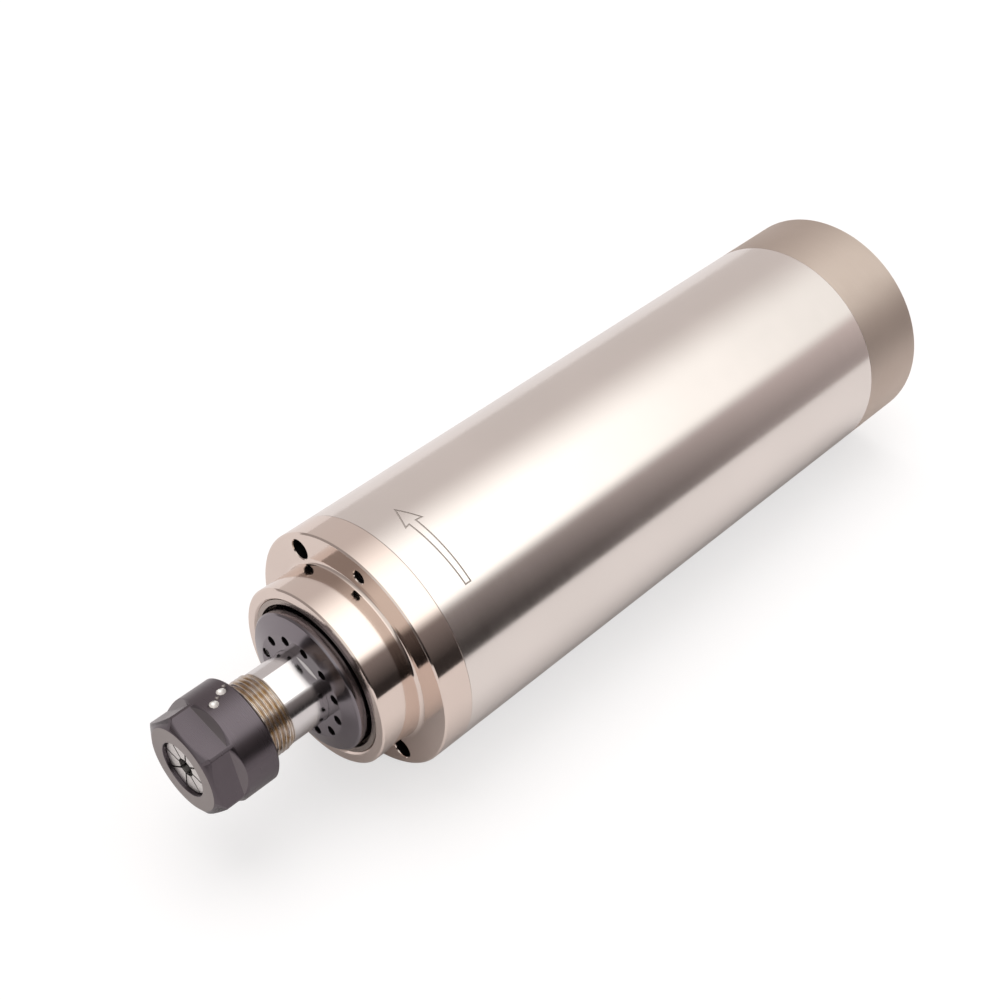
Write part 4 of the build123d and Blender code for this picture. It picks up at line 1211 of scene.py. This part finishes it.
@dataclass
class RearCap:
    """The cap behind the rear seam, with its screws."""

    register: float = 4.7
    spigot_gap: float = 3.05
    wall: float = 8.0
    end_wall: float = 10.0
    chamfer: float = 0.5
    edge: float = 0.18
    segments: int = 256
    screw_edge: float = 5.6
    screw_angle: float = 54.2
    screws: int = 4
    head_seat: float = 4.4          # depth of the counterbores
    head_room: float = 3.8
    head_chamfer: float = 0.3
    screw_hole: float = 2.15
    screw_sides: int = 64
    socket_place: tuple[float, float] = (324.2, 16.0)
    socket_hole: float = 8.05
    nipple_places: tuple[tuple[float, float], ...] = ((76.7, 22.0), (211.7, 22.0))
    nipple_hole: float = 4.05
    fitting_sides: int = 96         # faces round a screw or the hole of a fitting
    head_radius: float = 3.5
    head_length: float = 4.0
    head_rounds: tuple[float, float] = (0.1, 0.4)       # at the seat and at the top
    shank_radius: float = 2.0
    shank_round: float = 0.3
    key_size: float = 3.0
    key_depth: float = 2.0
    key_sides: int = 6
    knurls: int = 30
    knurl_height: float = 0.1
    knurl_root: float = 0.4         # how deep a rib starts under its crest
    knurl_half: float = 0.18        # half a rib's width
    knurl_ends: tuple[float, float] = (0.3, 0.7)        # bare head below and above the ribs
    screw_bevel: float = 0.06

    def build(self, shop: Workshop) -> bpy.types.Object:
        """Builds the cap.

        Args:
            shop: The shared geometry trees.

        Returns:
            The finished piece.
        """
        extent = Extent.of("rear_cap")
        body = extent.high.y
        front, rear = extent.low.x, extent.high.x
        seam = front + self.register
        cavity = body - self.wall
        inside = rear - self.end_wall
        spigot = body - self.spigot_gap
        mesh = turned("cap_shell", [
            (front, cavity, 0), (front, spigot, 0), (seam, spigot, 0), (seam, body, self.edge),
            (rear - self.chamfer, body, self.edge), (rear, body - self.chamfer, self.edge),
            (rear, 0, 0), (inside, 0, 0), (inside, cavity, 0)], self.segments)
        cap = stand("cap_shell", mesh, SATIN_CAP)
        seat = rear - self.head_seat
        mouth = self.head_room + self.head_chamfer
        screw_tool = turned("screw_tool", [
            (front - PAST, 0, 0), (front - PAST, self.screw_hole, 0), (seat, self.screw_hole, 0),
            (seat, self.head_room, 0), (rear - self.head_chamfer, self.head_room, 0),
            (rear, mouth, 0), (rear + PAST, mouth, 0), (rear + PAST, 0, 0)], self.screw_sides)
        screw_tool = shop.copies.around("screw_tools", placed(screw_tool, 0, body - self.screw_edge),
                                        self.screws, self.screw_angle, SATIN_CAP)
        tools = [screw_tool]
        places = [(*self.socket_place, self.socket_hole)]
        places += [(*place, self.nipple_hole) for place in self.nipple_places]
        for angle, distance, radius in places:
            tool = turned("fitting_tool", [
                (inside - PAST, 0, 0), (inside - PAST, radius, 0), (rear + PAST, radius, 0),
                (rear + PAST, 0, 0)], self.fitting_sides)
            tools.append(placed(tool, angle, distance))
        cut(cap, merged("cap_tools", tools))
        smooth(cap)
        true_round(cap, body)
        return dress(cap, "housing", "satin_cap", "rear_cap")

    def build_screws(self, shop: Workshop) -> bpy.types.Object:
        """Builds the four socket-head screws with knurled heads.

        Args:
            shop: The shared geometry trees.

        Returns:
            The finished piece.
        """
        extent = Extent.of("rear_cap_screws")
        cap = Extent.of("rear_cap")
        seat = cap.high.x - self.head_seat
        top = seat + self.head_length
        head = self.head_radius - self.knurl_height
        seat_round, top_round = self.head_rounds
        mesh = turned("cap_screw", [
            (extent.low.x, 0, 0), (extent.low.x, self.shank_radius, self.shank_round),
            (seat, self.shank_radius, 0), (seat, head, seat_round), (top, head, top_round),
            (top, 0, 0)], self.fitting_sides)
        screw = stand("cap_screw", mesh, SCREW_STEEL)
        below, above = self.knurl_ends
        rib = bar("knurl", (seat + below, self.head_radius - self.knurl_root, -self.knurl_half),
                  (top - above, self.head_radius, self.knurl_half))
        key = turned("key", [
            (top - self.key_depth, 0, 0), (top - self.key_depth, self.key_size / 2, 0),
            (top + PAST, self.key_size / 2, 0), (top + PAST, 0, 0)], self.key_sides)
        corner = 1 / math.cos(math.pi / self.key_sides)
        key.transform(Matrix.Diagonal((1, corner, corner, 1)))
        cut(screw, key)
        attach(screw, shop.copies.around("knurls", rib, self.knurls, 0, SCREW_STEEL))
        smooth(screw, self.screw_bevel)
        single = screw.data
        bpy.data.objects.remove(screw)
        single = placed(single, 0, cap.high.y - self.screw_edge)
        group = shop.copies.around("cap_screw_set", single, self.screws, self.screw_angle, SCREW_STEEL)
        return dress(stand("cap_screw_set", group, SCREW_STEEL), "housing", "screw_steel",
                     "rear_cap_screws")


@dataclass
class BalanceRing:
    """The dark disc in the recess, with its ring of balancing holes."""

    hub_wall: float = 4.9
    hub_height: float = 1.7
    hub_round: float = 1.2
    bore: float = 12.5
    lip: float = 12.06              # closes the disc's face round the neck
    lip_length: float = 1.0
    lip_round: float = 0.05
    sleeve: float = 15.0
    sleeve_start: float = -7.0
    chamfer: float = 0.5
    edge: float = 0.12
    segments: int = 224
    holes: int = 12
    hole_radius: float = 1.6
    hole_inset: float = 3.2
    hole_depth: float = 6.0
    hole_angle: float = 10.0
    hole_chamfer: float = 0.1
    hole_sides: int = 32
    hole_shade_slot: int = 1

    def build(self, shop: Workshop) -> bpy.types.Object:
        """Builds the disc.

        Args:
            shop: The shared geometry trees.

        Returns:
            The finished piece.
        """
        extent = Extent.of("front_balance_ring")
        face, rim = extent.low.x, extent.high.y
        ledge = face + self.hub_height
        hub = self.bore + self.hub_wall
        mesh = turned("balance_disc", [
            (face, self.lip, self.lip_round), (face, hub, self.hub_round),
            (ledge, rim - self.chamfer, self.edge), (ledge + self.chamfer, rim, self.edge),
            (self.sleeve_start, rim, self.edge), (self.sleeve_start, self.sleeve, 0),
            (extent.high.x, self.sleeve, 0), (extent.high.x, self.bore, 0),
            (face + self.lip_length, self.bore, 0), (face + self.lip_length, self.lip, 0)], self.segments)
        disc = stand("balance_disc", mesh, DISC_OXIDE, HOLE_SHADE)
        tool = drill("balance_drill", face, self.hole_radius, self.hole_depth, self.hole_chamfer, 0,
                     self.hole_sides)
        tool = placed(tool, 0, self.bore + self.hole_inset)
        drills = shop.copies.around("balance_drills", tool, self.holes, self.hole_angle, DISC_OXIDE)
        # The bores of the balancing holes get the near-black painted shade.
        paint(drills, self.hole_shade_slot, lambda drilled: drilled.center.x > (face + self.hole_chamfer) * MM)
        cut(disc, drills)
        smooth(disc)
        return dress(disc, "rotor", "black_oxide", "front_balance_ring")


@dataclass
class Shaft:
    """The spindle shaft, with the real thread on its nose and the wrench flats on its neck."""

    thread_crest: float = 12.5
    thread_pitch: float = 1.5
    thread_depth: float = 0.85
    thread_end: float = -32.5
    thread_chamfer: float = 0.4
    thread_rows: int = 330
    core_round: float = 0.2
    neck: float = 12.0
    neck_round: float = 0.1
    flats: int = 2
    flat_half: float = 11.0
    flat_range: tuple[float, float] = (-32.1, -19.72)
    flat_angle: float = 109.5
    seat_start: float = -18.5       # behind the lip of the balance disc
    seat: float = 12.45
    front_race: float = 0.0
    race_fit: float = 0.05
    race_end: float = 32.0
    shoulder: float = 15.0
    rotor_end: float = 174.0
    step: float = 10.0
    tail_start: float = 188.0
    tail: float = 7.5
    tail_chamfer: float = 0.5
    mouth: float = 9.8
    taper_end: tuple[float, float] = (-30.3, 6.9)       # place along the axis and radius
    bore: tuple[float, float, float] = (-29.3, 6.0, -18.3)      # start, radius and bottom
    bore_tip: float = 3.0
    segments: int = 192

    def build(self, shop: Workshop) -> bpy.types.Object:
        """Builds the shaft.

        Args:
            shop: The shared geometry trees.

        Returns:
            The finished piece.
        """
        extent = Extent.of("spindle_shaft")
        front, rear = extent.low.x, extent.high.x
        core = self.thread_crest - self.thread_depth
        race = self.seat + self.race_fit
        taper_end, taper_radius = self.taper_end
        bore_start, bore_radius, bore_end = self.bore
        mesh = turned("threaded_shaft", [
            (front, self.mouth, 0), (front, core - self.thread_chamfer, 0),
            (front + self.thread_chamfer, core, 0), (self.thread_end, core, self.core_round),
            (self.thread_end, self.neck, self.neck_round), (self.seat_start, self.neck, 0),
            (self.seat_start, self.seat, 0), (self.front_race, self.seat, 0),
            (self.front_race, race, 0), (self.race_end, race, 0), (self.race_end, self.shoulder, 0),
            (self.rotor_end, self.shoulder, 0), (self.rotor_end, self.step, 0),
            (self.tail_start, self.step, 0), (self.tail_start, self.tail, 0),
            (rear - self.tail_chamfer, self.tail, 0), (rear, self.tail - self.tail_chamfer, 0),
            (rear, 0, 0), (bore_end, 0, 0), (bore_end - self.bore_tip, bore_radius, 0),
            (bore_start, bore_radius, 0), (bore_start, taper_radius, 0),
            (taper_end, taper_radius, 0)], self.segments)
        shaft = stand("threaded_shaft", mesh, SHAFT_STEEL)
        start, end = self.flat_range
        mill = bar("flat_mill", (start, self.flat_half, -self.neck), (end, 2 * self.flat_half, self.neck))
        cut(shaft, shop.copies.around("flat_mills", mill, self.flats, self.flat_angle, SHAFT_STEEL))
        thread = shop.threads.sleeve("nose_thread", SHAFT_STEEL, front, self.thread_end - front,
                                     self.thread_crest, self.thread_depth, core - BURIED,
                                     self.thread_pitch, self.thread_rows)
        attach(shaft, thread)
        smooth(shaft)
        return dress(shaft, "rotor", "shaft_steel", "spindle_shaft")


@dataclass
class ColletNut:
    """The black nut with its milled hexagon, chamfered mouth and drilled balance spots."""

    hex_length: float = 10.0
    across_flats: float = 30.0
    hex_angle: float = 105.0
    face_radius: float = 13.7
    front_chamfer: float = 2.0
    rear_chamfer: float = 0.6
    mouth: float = 8.79
    mouth_end: float = -61.3
    ring_seat: tuple[float, float] = (-58.7, -56.8)
    cone_end: float = 10.29
    seat_radius: float = 11.65
    thread: float = 12.55
    front_round: float = 0.3
    face_round: float = 0.25
    edge: float = 0.15
    segments: int = 240
    flats: int = 6
    bevel: float = 0.12
    bare_slot: int = 1
    wear_highlight_slot: int = 2
    slope_light_slot: int = 3
    face_reach: float = 0.2         # how far from the front a face is painted lighter, as wear and as painted highlight
    front_facing: float = -0.9      # a face that looks forward has a normal below this along X
    slope_facing: float = -0.5      # and a sloped one has its normal between the two
    slope_start: float = 5.0        # where the flats' slopes may start, behind the front
    slope_past: float = 0.5         # how far past the hexagon they may end
    bright_spots: tuple[tuple[float, float], ...] = ((-45.6, 84.0), (-49.9, 92.0))
    dull_spots: tuple[tuple[float, float], ...] = ((-47.8, 88.0), (-43.7, 80.0))
    spot_radius: float = 1.4
    dull_radius: float = 0.7
    spot_depth: float = 0.12
    spot_tip: float = 0.36          # length of a spot's cone against its radius
    spot_sides: int = 48

    def spot_tool(self, radius: float, place: tuple[float, float], slot: int,
                  size: float) -> bpy.types.Mesh:
        """The drill of one balance spot in the nut's collar.

        Args:
            radius: Radius of the collar, in millimetres.
            place: Place along the axis and angle of the spot.
            slot: Material slot of the spot.
            size: Radius of the spot.

        Returns:
            The tool's mesh.
        """
        along, angle = place
        tool = turned("spot_tool", [
            (-PAST, 0, 0), (-PAST, size, 0), (self.spot_depth, size, 0),
            (self.spot_depth + self.spot_tip * size, 0, 0)], self.spot_sides, slot)
        tool.transform(Matrix.Rotation(math.radians(-90), 4, "Z"))
        return placed(tool, angle, radius, along)

    def paint_wear_and_light(self, mesh: bpy.types.Mesh, front: float) -> None:
        """Paints the front face lighter, as wear and as painted highlight, and the slopes behind the flats
        lighter, as painted light.

        Args:
            mesh: The nut's mesh, which is changed.
            front: Place of its front face along the axis, in millimetres.
        """
        face_end = front + self.face_reach
        start, end = front + self.slope_start, front + self.hex_length + self.slope_past
        # The front face gets the lighter oxide: wear and painted highlight.
        paint(mesh, self.wear_highlight_slot,
              lambda face: face.normal.x < self.front_facing and face.center.x < face_end * MM)
        # The slopes behind the flats get the lighter oxide as painted light.
        paint(mesh, self.slope_light_slot,
              lambda face: (self.front_facing < face.normal.x < self.slope_facing
                            and start < face.center.x / MM < end))

    def build(self, shop: Workshop) -> bpy.types.Object:
        """Builds the nut.

        Args:
            shop: The shared geometry trees.

        Returns:
            The finished piece.
        """
        extent = Extent.of("collet_nut")
        front, rear, outer = extent.low.x, extent.high.x, extent.high.z
        seat_front, seat_rear = self.ring_seat
        mesh = turned("hex_nut", [
            (front, self.mouth, self.front_round), (front, self.face_radius, self.face_round),
            (front + self.front_chamfer, outer, self.front_round), (front + self.hex_length, outer, 0),
            (rear - self.rear_chamfer, outer, self.edge),
            (rear, outer - self.rear_chamfer, self.edge), (rear, self.thread + self.rear_chamfer, 0),
            (rear - self.rear_chamfer, self.thread, 0), (seat_rear, self.thread, 0),
            (seat_rear, self.seat_radius, 0), (seat_front, self.seat_radius, 0),
            (seat_front, self.cone_end, 0), (self.mouth_end, self.mouth, 0)], self.segments)
        nut = stand("hex_nut", mesh, BLACK_OXIDE, BARE_SPOT, OXIDE_WEAR_AND_HIGHLIGHT, SLOPE_LIGHT_OXIDE)
        mill = bar("hex_mill", (front - PAST, self.across_flats / 2, -outer),
                   (front + self.hex_length, self.across_flats, outer))
        # The mill's rear end slopes at 45 degrees, and so does the end of each flat.
        for corner in mill.vertices:
            if corner.co.x > front * MM:
                corner.co.x += corner.co.y - outer * MM
        cut(nut, shop.copies.around("hex_mills", mill, self.flats, self.hex_angle, BLACK_OXIDE))
        # The bevels take the lighter oxide, which paints highlight lines along the edges as well as wear.
        smooth(nut, self.bevel, self.wear_highlight_slot)
        tools = [self.spot_tool(outer, place, self.bare_slot, self.spot_radius)
                 for place in self.bright_spots]
        tools += [self.spot_tool(outer, place, self.wear_highlight_slot, self.dull_radius)
                  for place in self.dull_spots]
        for tool in tools:
            cut(nut, tool)
        self.paint_wear_and_light(nut.data, front)
        smooth(nut)
        return dress(nut, "nut", "black_oxide", "collet_nut")


@dataclass
class PowerSocket:
    """The power socket's shell, with a thread for its nut and one for the plug."""

    thread_pitch: float = 1.0
    thread_depth: float = 0.55
    thread_rows: int = 14           # rows of points to a millimetre
    shell_wall: float = 1.5
    flange_rim: float = 1.5         # how far the flange stands out
    flange_length: float = 2.5
    flange_rounds: tuple[float, float] = (0.15, 0.4)    # at the cap and at the top
    collar: float = 1.2
    collar_round: float = 0.1
    thread_gap: float = 0.2         # between the collar and the thread
    end_land: float = 1.0           # plain end beyond the thread
    end_cuts: tuple[float, float] = (0.1, 0.35)         # how far its edges lie inside the crest
    end_rounds: tuple[float, float] = (0.15, 0.2)
    key_half: float = 0.8           # half its width, and its height inside the shell
    key_root: float = 0.5
    segments: int = 160

    def build(self, shop: Workshop) -> bpy.types.Object:
        """Builds the socket's shell with its threads and the key that guides the plug.

        Args:
            shop: The shared geometry trees.

        Returns:
            The finished piece.
        """
        extent = Extent.of("power_socket_shell")
        insert = Extent.of("power_socket_insert")
        centre = (extent.low + extent.high) / 2
        flange = (extent.high.y - extent.low.y) / 2
        start, top = extent.low.x, extent.high.x
        face = Extent.of("rear_cap").high.x
        outer = flange - self.flange_rim
        inner = outer - self.shell_wall
        core = outer - self.thread_depth
        neck = face + self.flange_length
        shoulder = neck + self.collar
        land = top - self.end_land
        low_round, high_round = self.flange_rounds
        near_cut, far_cut = self.end_cuts
        near_round, far_round = self.end_rounds
        mesh = turned("socket_shell", [
            (start, inner, 0), (start, core, 0), (face, core, 0), (face, flange, low_round),
            (neck, flange, high_round), (neck, outer, 0), (shoulder, outer, self.collar_round),
            (shoulder, core, 0), (land, core, 0), (land, outer - near_cut, near_round),
            (top, outer - far_cut, far_round), (top, inner, near_round)], self.segments)
        shell = stand("socket_shell", mesh, PLATED_SHELL)
        for begin, end in ((start, face), (shoulder + self.thread_gap, land)):
            thread = shop.threads.sleeve("socket_thread", PLATED_SHELL, begin, end - begin, outer,
                                         self.thread_depth, core - BURIED, self.thread_pitch,
                                         round((end - begin) * self.thread_rows))
            attach(shell, thread)
        key = bar("socket_key", (insert.high.x, inner - self.key_half, -self.key_half),
                  (land, inner + self.key_root, self.key_half))
        attach(shell, key)
        smooth(shell)
        angle = math.degrees(math.atan2(centre.z, centre.y))
        placed(shell.data, angle, math.hypot(centre.y, centre.z))
        return dress(shell, "housing", "plated_shell", "power_socket_shell")


def dress_frame_nodes() -> None:
    """Gives every frame node the finish of its material slot."""
    slots = {part["node"]: part["material_slot"] for part in frame["record"]["subparts"]}
    for name, node in frame["nodes"].items():
        finish = FINISH_OF_SLOT[slots[name]]
        node.data.materials.clear()
        node.data.materials.append(finish.material())
        log.info("%s: %s", name, finish.name)


# ---- Studio -----------------------------------------------------------------------------------
@dataclass
class Studio:
    """Camera, floor, lamp and surroundings."""

    camera_place: tuple[float, float, float] = (-0.21069, -0.26502, 0.35446)
    # The directions that are right and down in the camera's view.
    camera_right: tuple[float, float, float] = (0.69511, -0.71891, 0.0)
    camera_down: tuple[float, float, float] = (-0.47444, -0.45872, -0.75133)
    lens: float = 58.84
    sensor: float = 36.0
    clip: float = 0.01              # metres in front of the camera that it doesn't see
    floor_colour: Colour = (0.90, 0.875, 0.875)
    floor_size: float = 6.0
    floor_dimmed: Colour = (0.66, 0.637, 0.64)      # as reflections show it
    floor_whiteness: float = 0.64   # share of pure white that the camera sees
    paper_edge: float = -0.32       # where the paper ends in reflections, along Y
    paper_fade: tuple[float, float] = (0.02, 0.01)      # beyond that edge and before it
    sun_power: float = 1.4
    sun_spread: float = 50.0        # degrees
    sun_way: tuple[float, float, float] = (0.05, 0.22, 0.95)
    wall_colour: Colour = (0.67, 0.615, 0.60)
    first_turn: float = -90.0       # degrees from +Y towards +Z, where the turn is counted from
    softbox_rise: tuple[float, float] = (42.0, 98.0)    # degrees of the same turn
    softbox_fall: tuple[float, float] = (134.0, 149.0)
    softbox_power: float = 1.70
    softbox_end: float = 0.56       # share of its power towards the rear
    softbox_reach: tuple[float, float] = (0.52, 0.71)   # of a direction's part along X
    softbox_tint: Colour = (1.0, 0.985, 0.965)
    dark_near: float = 0.03         # light of the dark side beside the object
    dark_far: float = 0.46          # and far towards the rear
    dark_reach: tuple[float, float] = (0.44, 0.72)
    glow_power: float = 0.20        # grey beside the softbox that fades into the dark side
    glow_end: float = 178.0         # degrees
    front_gain: float = 0.55        # dimmer light from the side that the nose points to
    front_reach: tuple[float, float] = (-0.30, 0.25)
    dark_tint: Colour = (1.0, 0.86, 0.84)

    def build_camera(self) -> None:
        """Sets the camera."""
        data = bpy.data.cameras.new("camera")
        data.lens = self.lens
        data.sensor_width = self.sensor
        data.clip_start = self.clip
        camera = linked("camera", data)
        right, up = Vector(self.camera_right).normalized(), -Vector(self.camera_down).normalized()
        back = right.cross(up)
        turn = Matrix((right, up, back)).transposed().to_4x4()
        camera.matrix_world = Matrix.Translation(Vector(self.camera_place)) @ turn
        bpy.context.scene.camera = camera

    def build_floor(self) -> None:
        """Lays a white paper. Beside the object it ends, and only reflections show that."""
        floor_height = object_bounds()[0].z
        half = self.floor_size / 2
        mesh = bpy.data.meshes.new("floor")
        edges = ((-half, -half), (half, -half), (half, half), (-half, half))
        corners = [(along, across, floor_height) for along, across in edges]
        mesh.from_pydata(corners, [], [(0, 1, 2, 3)])
        floor = linked("floor", mesh)
        material = bpy.data.materials.new("floor_paper")
        sketch = emptied(material)
        ray = sketch.add("ShaderNodeLightPath").outputs
        across = sketch.split(sketch.place())[1]
        beyond, before = self.paper_fade
        paper = sketch.add("ShaderNodeBsdfDiffuse", {
            "Color": sketch.blend(ray["Is Camera Ray"], self.floor_dimmed, self.floor_colour)})
        table = sketch.add("ShaderNodeBsdfTransparent")
        edge = sketch.spread(across, self.paper_edge - beyond, self.paper_edge + before, 1.0, 0.0, True)
        share = sketch.math("MULTIPLY", edge, ray["Is Glossy Ray"])
        below = sketch.either(share, paper, table)
        white = sketch.add("ShaderNodeEmission", {"Color": WHITE, "Strength": 1.0})
        share = sketch.math("MULTIPLY", ray["Is Camera Ray"], self.floor_whiteness)
        mixed = sketch.either(share, below, white)
        sketch.add("ShaderNodeOutputMaterial", {"Surface": mixed.outputs[0]})
        mesh.materials.append(material)
        floor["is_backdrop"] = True

    def build_sun(self) -> None:
        """Hangs the broad soft lamp that lights the paper; the room alone shows in the metal."""
        data = bpy.data.lights.new("soft_lamp", "SUN")
        data.energy = self.sun_power
        data.angle = math.radians(self.sun_spread)
        lamp = linked("soft_lamp", data)
        lamp.matrix_world = Vector(self.sun_way).to_track_quat("Z", "Y").to_matrix().to_4x4()
        lamp.visible_glossy = False

    def build_world(self) -> None:
        """Surrounds the scene with a wall, an overhead softbox and a dark side."""
        world = bpy.data.worlds.new("room")
        bpy.context.scene.world = world
        sketch = emptied(world)
        along, across, up = sketch.split(sketch.add("ShaderNodeTexCoord").outputs["Generated"])
        turn = sketch.math("DEGREES", sketch.math("ARCTAN2", up, across))
        behind = sketch.math("LESS_THAN", turn, self.first_turn)
        turn = sketch.math("ADD", turn, sketch.math("MULTIPLY", behind, FULL_TURN))
        rise = sketch.spread(turn, *self.softbox_rise, 0.0, 1.0, True)
        fall = sketch.spread(turn, *self.softbox_fall, 0.0, 1.0, True)
        glow = sketch.spread(turn, self.softbox_fall[1], self.glow_end, self.glow_power, 0.0)
        power = sketch.spread(along, *self.softbox_reach, self.softbox_power,
                              self.softbox_power * self.softbox_end)
        depth = sketch.spread(along, *self.dark_reach, 0.0, 1.0)
        depth = sketch.math("MULTIPLY", depth, depth)
        shadow = sketch.spread(depth, 0.0, 1.0, self.dark_near, self.dark_far)
        box = sketch.scaled(self.softbox_tint, power)
        dark = sketch.scaled(self.dark_tint, sketch.math("ADD", shadow, glow))
        colour = sketch.blend(fall, sketch.blend(rise, self.wall_colour, box), dark)
        gain = sketch.spread(along, *self.front_reach, self.front_gain, 1.0, True)
        ray = sketch.add("ShaderNodeLightPath").outputs
        room = sketch.add("ShaderNodeBackground", {"Color": colour, "Strength": gain})
        backdrop = sketch.add("ShaderNodeBackground", {"Color": WHITE, "Strength": 1.0})
        mixed = sketch.either(ray["Is Camera Ray"], room, backdrop)
        sketch.add("ShaderNodeOutputWorld", {"Surface": mixed.outputs[0]})

    def build(self) -> None:
        """Builds the whole studio."""
        self.build_camera()
        self.build_floor()
        self.build_world()
        self.build_sun()
        bpy.context.scene.view_settings.view_transform = "Standard"
        log.info("studio ready")


def main() -> None:
    """Builds every sub-assembly, then the studio."""
    logging.basicConfig(level=logging.INFO, format="%(name)s: %(message)s")
    shop = Workshop(RingOfCopies(), ScrewThread())
    dress_frame_nodes()
    BodyTube().build()
    FrontHousing().build()
    cap = RearCap()
    cap.build(shop)
    cap.build_screws(shop)
    BalanceRing().build(shop)
    Shaft().build(shop)
    ColletNut().build(shop)
    PowerSocket().build(shop)
    Studio().build()
    log.info("sizes written")


if __name__ == "__main__":
    main()
